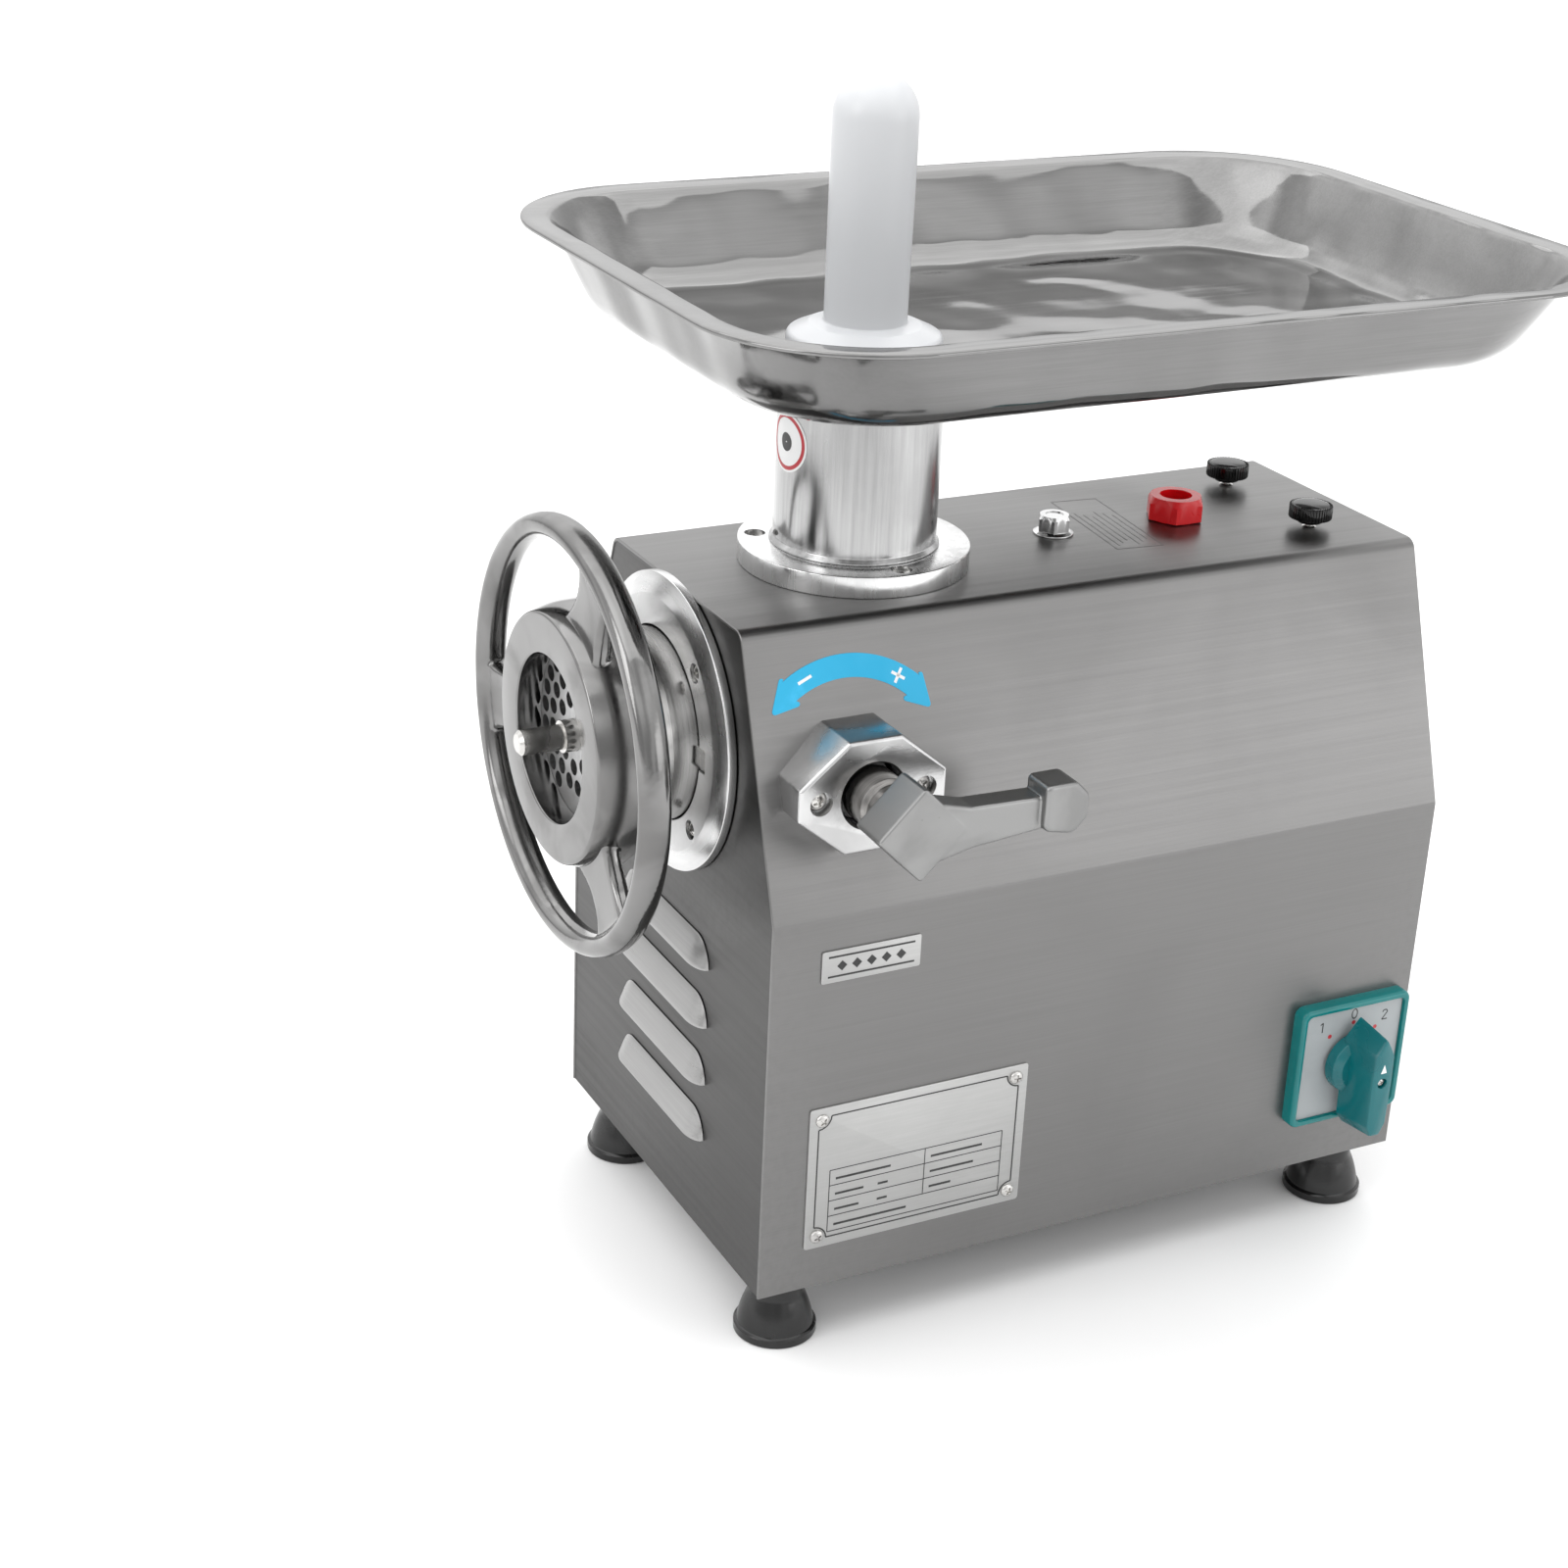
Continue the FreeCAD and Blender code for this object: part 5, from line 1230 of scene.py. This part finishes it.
def buildSwitch():
    s = switch
    origin = at(s["x"], sideY, s["z"])
    bm = bmesh.new()
    outer = roundLoop(rectangle(s["half"], s["half"]), s["corner"], 6)
    inner = roundLoop(rectangle(s["dial"], s["dial"]), 2.5, 6)
    levels = [(outer, 0.0, 0), (outer, 5.4, 0), (outer, 6.4, 0.4), (outer, 7.0, 1.2), (outer, 7.0, 2.0),
              (inner, 6.8, -0.4), (inner, 6.2, 0), (inner, 4.8, 0)]
    rings = []
    for loop, height, inset in levels:
        points = offsetLoop(loop, inset) if inset else loop
        rings.append([bm.verts.new(origin + Vector((p.x, -height, p.y)) * mm) for p in points])
    ringFaces(bm, rings, capFirst=True)
    finishPiece(toObject("switchFrame", bm, 40), "root", "teal_plastic", finishes["tealFrame"],
                "switch_bezel")
    bm = bmesh.new()
    slab(bm, inner, origin + Vector((0, -3.6 * mm, 0)), (1, 0, 0), (0, 0, 1), 1.6, 0.1, 1)
    finishPiece(toObject("switchFace", bm, 30), "root", "grey_plastic", finishes["dialGrey"],
                "switch_dial")
    # position dots and the marks 1, 0 and 2
    dots, digits = bmesh.new(), bmesh.new()
    face = origin + Vector((0, -5.2 * mm, 0))
    for degrees, shape in ((132, "1"), (90, "0"), (48, "2")):
        slab(dots, [Vector(p) + polar(19.5, degrees) for p in regular(16, 1.1)], face, (1, 0, 0),
             (0, 0, 1), 0.04, 0.01, 1)
        spot = polar(24.0 if shape == "0" else 27.0, degrees)
        strokes = {"1": [((-1.2, 1.6), (0.2, 2.6)), ((0.2, 2.6), (0.2, -2.6))],
                   "0": [((math.cos(a) * 1.5, math.sin(a) * 2.5), (math.cos(b) * 1.5, math.sin(b) * 2.5))
                         for a, b in ((2 * math.pi * k / 14, 2 * math.pi * (k + 1) / 14)
                                      for k in range(14))],
                   "2": [((-1.5, 1.4), (-0.8, 2.4)), ((-0.8, 2.4), (0.7, 2.4)), ((0.7, 2.4), (1.4, 1.3)),
                         ((1.4, 1.3), (-1.5, -2.5)), ((-1.5, -2.5), (1.6, -2.5))]}[shape]
        for first, last in strokes:
            lineStrip(digits, spot + Vector(first), spot + Vector(last), 0.6, origin, 5.2)
    finishPiece(toObject("switchDots", dots, 30), "root", "red_plastic", finishes["printRed"])
    finishPiece(toObject("switchDigits", digits, 30), "root", "black_plastic", finishes["printBlack"])


buildSwitch()
handle = dict(disc=15.0, discDepth=8.0, top=25.0, bottom=31.0, halfWidth=7.2)


def buildSwitchHandle():
    s, g = switch, handle
    low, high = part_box("switch_knob")
    back = high.y
    origin = Vector((at(s["x"], 0, 0).x, back, at(0, 0, s["z"]).z))
    bm = bmesh.new()
    lathe(bm, [(p.x, p.y) for p in roundLoop([(0, 0), (0, g["disc"]),
                                              (g["discDepth"] - 2.5, g["disc"] - 0.4),
                                              (g["discDepth"], g["disc"] - 4.0), (g["discDepth"], 0)],
                                             [0, 0.3, 1.2, 1.5, 0], 4, closed=False)], origin, (0, -1, 0),
          72)
    # grip: pointed at the top, wider and cut off square at the bottom, thinner towards the front
    depth = (back - low.y) / mm
    levels = [(3.0, 1.0, 1.0), (depth * 0.45, 0.93, 0.97), (depth - 1.6, 0.80, 0.93),
              (depth - 0.5, 0.72, 0.915),
              (depth - 0.1, 0.6, 0.89)]
    rings = []
    for height, wide, tall in levels:
        w = g["halfWidth"] * wide
        loop = [(0.0, g["top"] * tall), (-w, g["top"] * tall - 9.0), (-w * 1.05, 0.0),
                (-w * 0.98, -g["bottom"] * tall + 6.0),
                (-w * 0.45, -g["bottom"] * tall + 0.5), (w * 0.45, -g["bottom"] * tall + 0.5),
                (w * 0.98, -g["bottom"] * tall + 6.0), (w * 1.05, 0.0), (w, g["top"] * tall - 9.0)]
        loop = roundLoop(loop, [0.9, 5.0, 8.0, 3.0, 1.0, 1.0, 3.0, 8.0, 5.0], 4)
        rings.append([bm.verts.new(origin + Vector((p.x, -height, p.y)) * mm) for p in loop])
    ringFaces(bm, rings, capFirst=True, capLast=True)
    piece = toObject("switchHandle", bm, 35)
    front = Vector((origin.x, low.y, origin.z))
    carve(piece, [rodCutter(front - Vector((0, 1 * mm, 0)), (0, 1, 0), 2.6, 3.4, 32)], 35)
    finishPiece(piece, "switch_knob", "teal_plastic", finishes["tealKnob"], "switch_knob")
    scatterHeads("handleScrew", buildScrewHead(2.3, 1.4), [front + Vector((0, 2.3 * mm, 0))], (0, -1, 0),
                 0.4,
                 "switch_knob", "knob_screw")
    bm = bmesh.new()
    slab(bm, [Vector((-1.6, 5.5)), Vector((1.6, 5.5)), Vector((0, 10.0))],
         front + Vector((0, 0.12 * mm, 0)),
         (1, 0, 0), (0, 0, 1), 0.16, 0.01, 1)
    finishPiece(toObject("handlePointer", bm, 30), "switch_knob", "white_label", finishes["printWhite"])


buildSwitchHandle()
nodes["switch_spindle"].data.materials[0] = finishes["screwSteel"]
print("switch built")

# fittings on top
fittings = dict(plugX=252.0, boltX=187.0, thumbX=304.0, thumbY=33.0)
thumb = dict(ridges=44, disc=9.9, gap=2.6, edgeLow=4.6, edgeHigh=11.0)


def hexBlock(bm, centre, flats, height, chamfer=0.8):
    # hexagon with its corners turned down to a cone
    radius = flats / math.sqrt(3)
    outline = []
    for k in range(6):
        start = Vector(polar(radius, 60 * k))
        end = Vector(polar(radius, 60 * k + 60))
        outline += [start.lerp(end, t / 8) for t in range(8)]
    rings = []
    for share, level in ((1.0, 0.0), (1.0, height - chamfer * 1.8), (0.0, height)):
        ring = []
        for p in outline:
            reach = p.length
            limit = flats / 2 * 0.97
            if share == 0.0:
                scaled = p * (limit / reach)
                drop = 0.0
            else:
                scaled = p
                drop = (reach - flats / 2) * 0.45 if level > 0 else 0.0
            ring.append(bm.verts.new(centre + Vector((scaled.x, scaled.y, level - drop)) * mm))
        rings.append(ring)
    ringFaces(bm, rings, capFirst=True, capLast=True)


def buildPlug():
    base = at(fittings["plugX"], 0, housing["height"])
    bm = bmesh.new()
    hexBlock(bm, base + Vector((0, 0, 0.6 * mm)), 24.0, 10.4, 1.2)
    lathe(bm, [(0, 0.0), (0, 11.0), (0.8, 11.4), (0.8, 0.0)], base, (0, 0, 1), 72)
    piece = finishPiece(toObject("fillerPlug", bm, 25), "root", "red_plastic", finishes["plugRed"],
                        "oil_plug")
    carve(piece, [rodCutter(base + Vector((0, 0, 2.5 * mm)), (0, 0, 1), 7.4, 12, 64)], 25)
    piece.data.materials.clear()
    piece.data.materials.append(finishes["plugRed"])


def buildBolt():
    base = at(fittings["boltX"], 0, housing["height"])
    bm = bmesh.new()
    hexBlock(bm, base + Vector((0, 0, 1.2 * mm)), 13.5, 7.8, 0.7)
    head = toObject("boltHead", bm, 25)
    carve(head, [rodCutter(base + Vector((0, 0, 8.5 * mm)), (0, 0, 1), 4.2, 4, 48)], 25)
    finishPiece(head, "root", "zinc_steel", finishes["boltChrome"], "top_bolt")
    bm = bmesh.new()
    skirt = roundLoop([(0, 0), (0, 9.2), (0.9, 9.2), (1.8, 7.4), (2.2, 0)], [0, 0.2, 0.4, 0.6, 0], 3,
                      closed=False)
    lathe(bm, [(p.x, p.y) for p in skirt], base, (0, 0, 1), 64)
    return finishPiece(toObject("boltFlange", bm, 25), "root", "zinc_steel", finishes["boltChrome"])


def buildThumb(name, body, y, node):
    base = at(fittings["thumbX"], y, housing["height"])
    t = thumb
    bm = bmesh.new()
    outline = []
    for k in range(t["ridges"]):
        for share, reach in ((0.0, t["disc"] - 0.45), (0.3, t["disc"] - 0.45), (0.5, t["disc"]),
                             (0.8, t["disc"])):
            outline.append(polar(reach, 360.0 * (k + share) / t["ridges"]))
    slab(bm, outline, base + Vector((0, 0, t["edgeLow"] * mm)), (1, 0, 0), (0, 1, 0),
         t["edgeHigh"] - t["edgeLow"],
         0.6, 3, 0.6)
    dome = [(t["edgeHigh"] - 0.6, 0)] + [(t["edgeHigh"] - 0.6 + 1.9 * math.sin(math.pi / 2 * k / 10),
                                          (t["disc"] - 1.3) * math.cos(math.pi / 2 * k / 10))
                                         for k in range(10)]
    lathe(bm, dome + [(t["edgeHigh"] + 1.3, 0)], base, (0, 0, 1), 64)
    skirt = roundLoop([(t["gap"], 0), (t["gap"], 5.6), (t["gap"] + 1.0, 6.5), (t["edgeLow"] + 0.6, 6.5),
                       (t["edgeLow"] + 0.6, 0)], [0, 0.3, 0.4, 0.1, 0], 3, closed=False)
    lathe(bm, [(p.x, p.y) for p in skirt], base, (0, 0, 1), 48)
    finishPiece(toObject(name, bm, 30), body, "black_plastic", finishes["knobGloss"], node)
    bm = bmesh.new()
    stem = [(0, 0), (0, 3.0), (0.5, 3.2), (0.8, 1.9), (t["gap"] + 0.2, 1.9), (t["gap"] + 0.2, 0)]
    lathe(bm, stem, base, (0, 0, 1), 32)
    finishPiece(toObject(name + "Stem", bm, 30), body, "zinc_steel", finishes["screwSteel"])


buildPlug()
buildBolt()
buildThumb("thumbKnobNear", "thumb_near", -fittings["thumbY"], "thumb_screw_near")
buildThumb("thumbKnobFar", "thumb_far", fittings["thumbY"], "thumb_screw_far")

topStrip = dict(x=217.5, y=3.5, halfLength=34.0, halfWidth=11.4, turn=84.0, bars=6)


def buildTopStrip():
    # faint printed strip; plain lines where print would be
    t = topStrip
    turn = math.radians(t["turn"])
    along, side = Vector((math.cos(turn), math.sin(turn))), Vector((-math.sin(turn), math.cos(turn)))
    base = at(t["x"], t["y"], housing["height"])
    bm = bmesh.new()
    strips = [(side * sign * t["halfWidth"], along * t["halfLength"]) for sign in (-1, 1)]
    strips += [(along * sign * t["halfLength"], side * t["halfWidth"]) for sign in (-1, 1)]
    for bar in range(t["bars"]):
        offset = t["halfWidth"] * (0.72 - 1.44 * bar / (t["bars"] - 1))
        strips.append((side * offset - along * 7.0, along * (t["halfLength"] - 11.0 - 3.0 * (bar % 3))))
    for middle, reach in strips:
        way = reach.normalized()
        across = Vector((-way.y, way.x)) * 0.35
        loop = [middle - reach - across, middle + reach - across, middle + reach + across,
                middle - reach + across]
        slab(bm, loop, base, (1, 0, 0), (0, 1, 0), 0.06, 0.01, 1)
    finishPiece(toObject("topStripPrint", bm, 30), "root", "grey_plastic", finishes["printFaint"])


buildTopStrip()

# round sticker on the neck, with a plain ring
sticker = dict(angle=-177.0, height=352.0, radius=13.0, ring=1.7, spot=4.0)


def buildSticker():
    s = sticker
    direction = math.radians(s["angle"])

    def wrapped(x, z, lift):
        turn = direction + x / neck["radius"]
        reach = neck["radius"] + lift
        return at(neckPlace + reach * math.cos(turn), reach * math.sin(turn), s["height"] + z)

    def disc(bm, rings, lift):
        made = []
        for radius in rings:
            made.append([bm.verts.new(wrapped(x, z, lift)) for x, z in regular(64, radius)])
        ringFaces(bm, made)
        return made

    bm = bmesh.new()
    made = disc(bm, [s["radius"], s["radius"] * 0.75, s["radius"] * 0.5, s["radius"] * 0.25, 0.4], 0.25)
    bm.faces.new(made[-1])
    edge = [bm.verts.new(wrapped(x, z, 0.0)) for x, z in regular(64, s["radius"])]
    ringFaces(bm, [edge, made[0]])
    finishPiece(toObject("neckSticker", bm, 60), "root", "white_label", finishes["printWhite"],
                "neck_label")
    bm = bmesh.new()
    disc(bm, [s["radius"] - 1.0, s["radius"] - 1.0 - s["ring"]], 0.3)
    finishPiece(toObject("stickerRing", bm, 60), "root", "red_plastic", finishes["printRed"])
    bm = bmesh.new()
    spot = disc(bm, [s["spot"], s["spot"] * 0.5], 0.3)
    bm.faces.new(spot[-1])
    finishPiece(toObject("stickerSpot", bm, 60), "root", "black_plastic", finishes["printBlack"])


buildSticker()
print("fittings and labels built")

# carried-over nodes
carried = {
    "toolSteel": ("knife", "plate_pin", "output_bearings", "mid_bearings", "motor_bearings", "clamp_pad"),
    "innerCast": ("head_seat", "gear_case", "gear_cover", "motor_fan_bell", "motor_drive_bell",
                  "motor_cradle"),
    "gearSteel": ("output_shaft", "output_gear", "mid_shaft", "mid_gear", "rotor_shaft"),
    "motorIron": ("motor_stator", "rotor"),
    # the clamp bush carries the bore's painted shade
    "clampBoreShade": ("clamp_bush",),
    "screwSteel": ("foot_screws", "panel_screws"),
    "blackPlastic": ("cable_gland", "fan", "switch_body"),
    "dialGrey": ("capacitor",),
}
for finish, names in carried.items():
    for name in names:
        nodes[name].data.materials.clear()
        nodes[name].data.materials.append(finishes[finish])
print("carried-over nodes finished")

# floor, light and camera
studio = dict(floorSize=30.0, floorColour=(0.95, 0.95, 0.95), worldLight=1.0, nearShare=0.8,
              panels=(0.75, 1.3), skyStops=((0.0, 1.0), (0.3, 1.15), (0.55, 1.5), (1.0, 0.9)))


def buildFloor():
    bm = bmesh.new()
    half = studio["floorSize"] / 2
    cells = 6
    grid = [[bm.verts.new((-half + 2 * half * i / cells, -half + 2 * half * j / cells, 0))
             for i in range(cells + 1)]
            for j in range(cells + 1)]
    ringFaces(bm, grid, closed=False)
    floor = toObject("studioFloor", bm)
    material, tree, shader, vector = startMaterial("floorPaper")
    grain = noiseNode(tree, vector, 3.0, 3.0)
    tree.links.new(mixColour(tree, grain, studio["floorColour"],
                             tuple(0.985 * c for c in studio["floorColour"])),
                   shader.inputs["Base Color"])
    shader.inputs["Roughness"].default_value = 0.75
    floor.data.materials.append(material)


def softLight(name, place, aim, size, power, tall=None, colour=(1.0, 1.0, 1.0)):
    light = bpy.data.lights.new(name, "AREA")
    light.shape = "RECTANGLE"
    light.size = size
    light.size_y = tall or size
    light.energy = power
    light.color = colour
    lamp = bpy.data.objects.new(name, light)
    lamp.location = place
    lamp.rotation_euler = (Vector(aim) - Vector(place)).to_track_quat("-Z", "Y").to_euler()
    bpy.context.scene.collection.objects.link(lamp)


def buildWorld():
    # pale studio all round, with a darker part towards -Y and a brighter band behind and above
    world = bpy.data.worlds.new("studioWorld")
    world.use_nodes = True
    tree = world.node_tree
    tree.nodes.clear()
    output = tree.nodes.new("ShaderNodeOutputWorld")
    back = tree.nodes.new("ShaderNodeBackground")
    coords = tree.nodes.new("ShaderNodeTexCoord")
    split = tree.nodes.new("ShaderNodeSeparateXYZ")
    ramp = tree.nodes.new("ShaderNodeValToRGB")
    stops = ramp.color_ramp.elements
    stops[0].position, stops[1].position = studio["skyStops"][0][0], studio["skyStops"][-1][0]
    for position, _ in studio["skyStops"][1:-1]:
        stops.new(position)
    for stop, (_, level) in zip(stops, studio["skyStops"]):
        stop.color = (level, level, level, 1)
    tree.links.new(coords.outputs["Generated"], split.inputs[0])
    tree.links.new(split.outputs["Z"], ramp.inputs[0])
    facing = spread(tree, split.outputs["Y"], -0.8, 0.3, studio["nearShare"], 1.0)
    panels = spread(tree, noiseNode(tree, coords.outputs["Generated"], 1.7, 1.0), 0.36, 0.64,
                    *studio["panels"])
    level = mathNode(tree, "MULTIPLY", mathNode(tree, "MULTIPLY", ramp.outputs[0], facing), panels)
    tree.links.new(level, back.inputs["Color"])
    back.inputs["Strength"].default_value = studio["worldLight"]
    tree.links.new(back.outputs[0], output.inputs[0])
    bpy.context.scene.world = world


def buildCamera():
    look = dict(place=(-0.6262, -1.0023, 0.7260), aim=(-0.0549, 0.0917, 0.1788), roll=2.5, lens=63.86)
    camera = bpy.data.cameras.new("studioCamera")
    camera.lens = look["lens"]
    camera.sensor_width = 36.0
    camera.clip_start = 0.05
    camera.clip_end = 60.0
    mount = bpy.data.objects.new("studioCamera", camera)
    mount.location = look["place"]
    facing = (Vector(look["aim"]) - Vector(look["place"])).to_track_quat("-Z", "Y").to_matrix().to_4x4()
    mount.rotation_euler = (facing @ Matrix.Rotation(math.radians(look["roll"]), 4, "Z")).to_euler()
    bpy.context.scene.collection.objects.link(mount)
    bpy.context.scene.camera = mount
    bpy.context.scene.view_settings.view_transform = "Standard"


buildFloor()
buildWorld()
softLight("overheadSoftbox", (0.0, 0.6, 4.5), (0, 0.4, 0), 7.0, 190.0)
softLight("frontSoftbox", (1.5, -2.0, 0.65), (0, 0, 0.25), 1.7, 7.0, 0.8)
softLight("leftSoftbox", (-2.3, -0.3, 1.3), (0, 0, 0.25), 1.0, 9.0, 1.4)
buildCamera()
print("studio set")
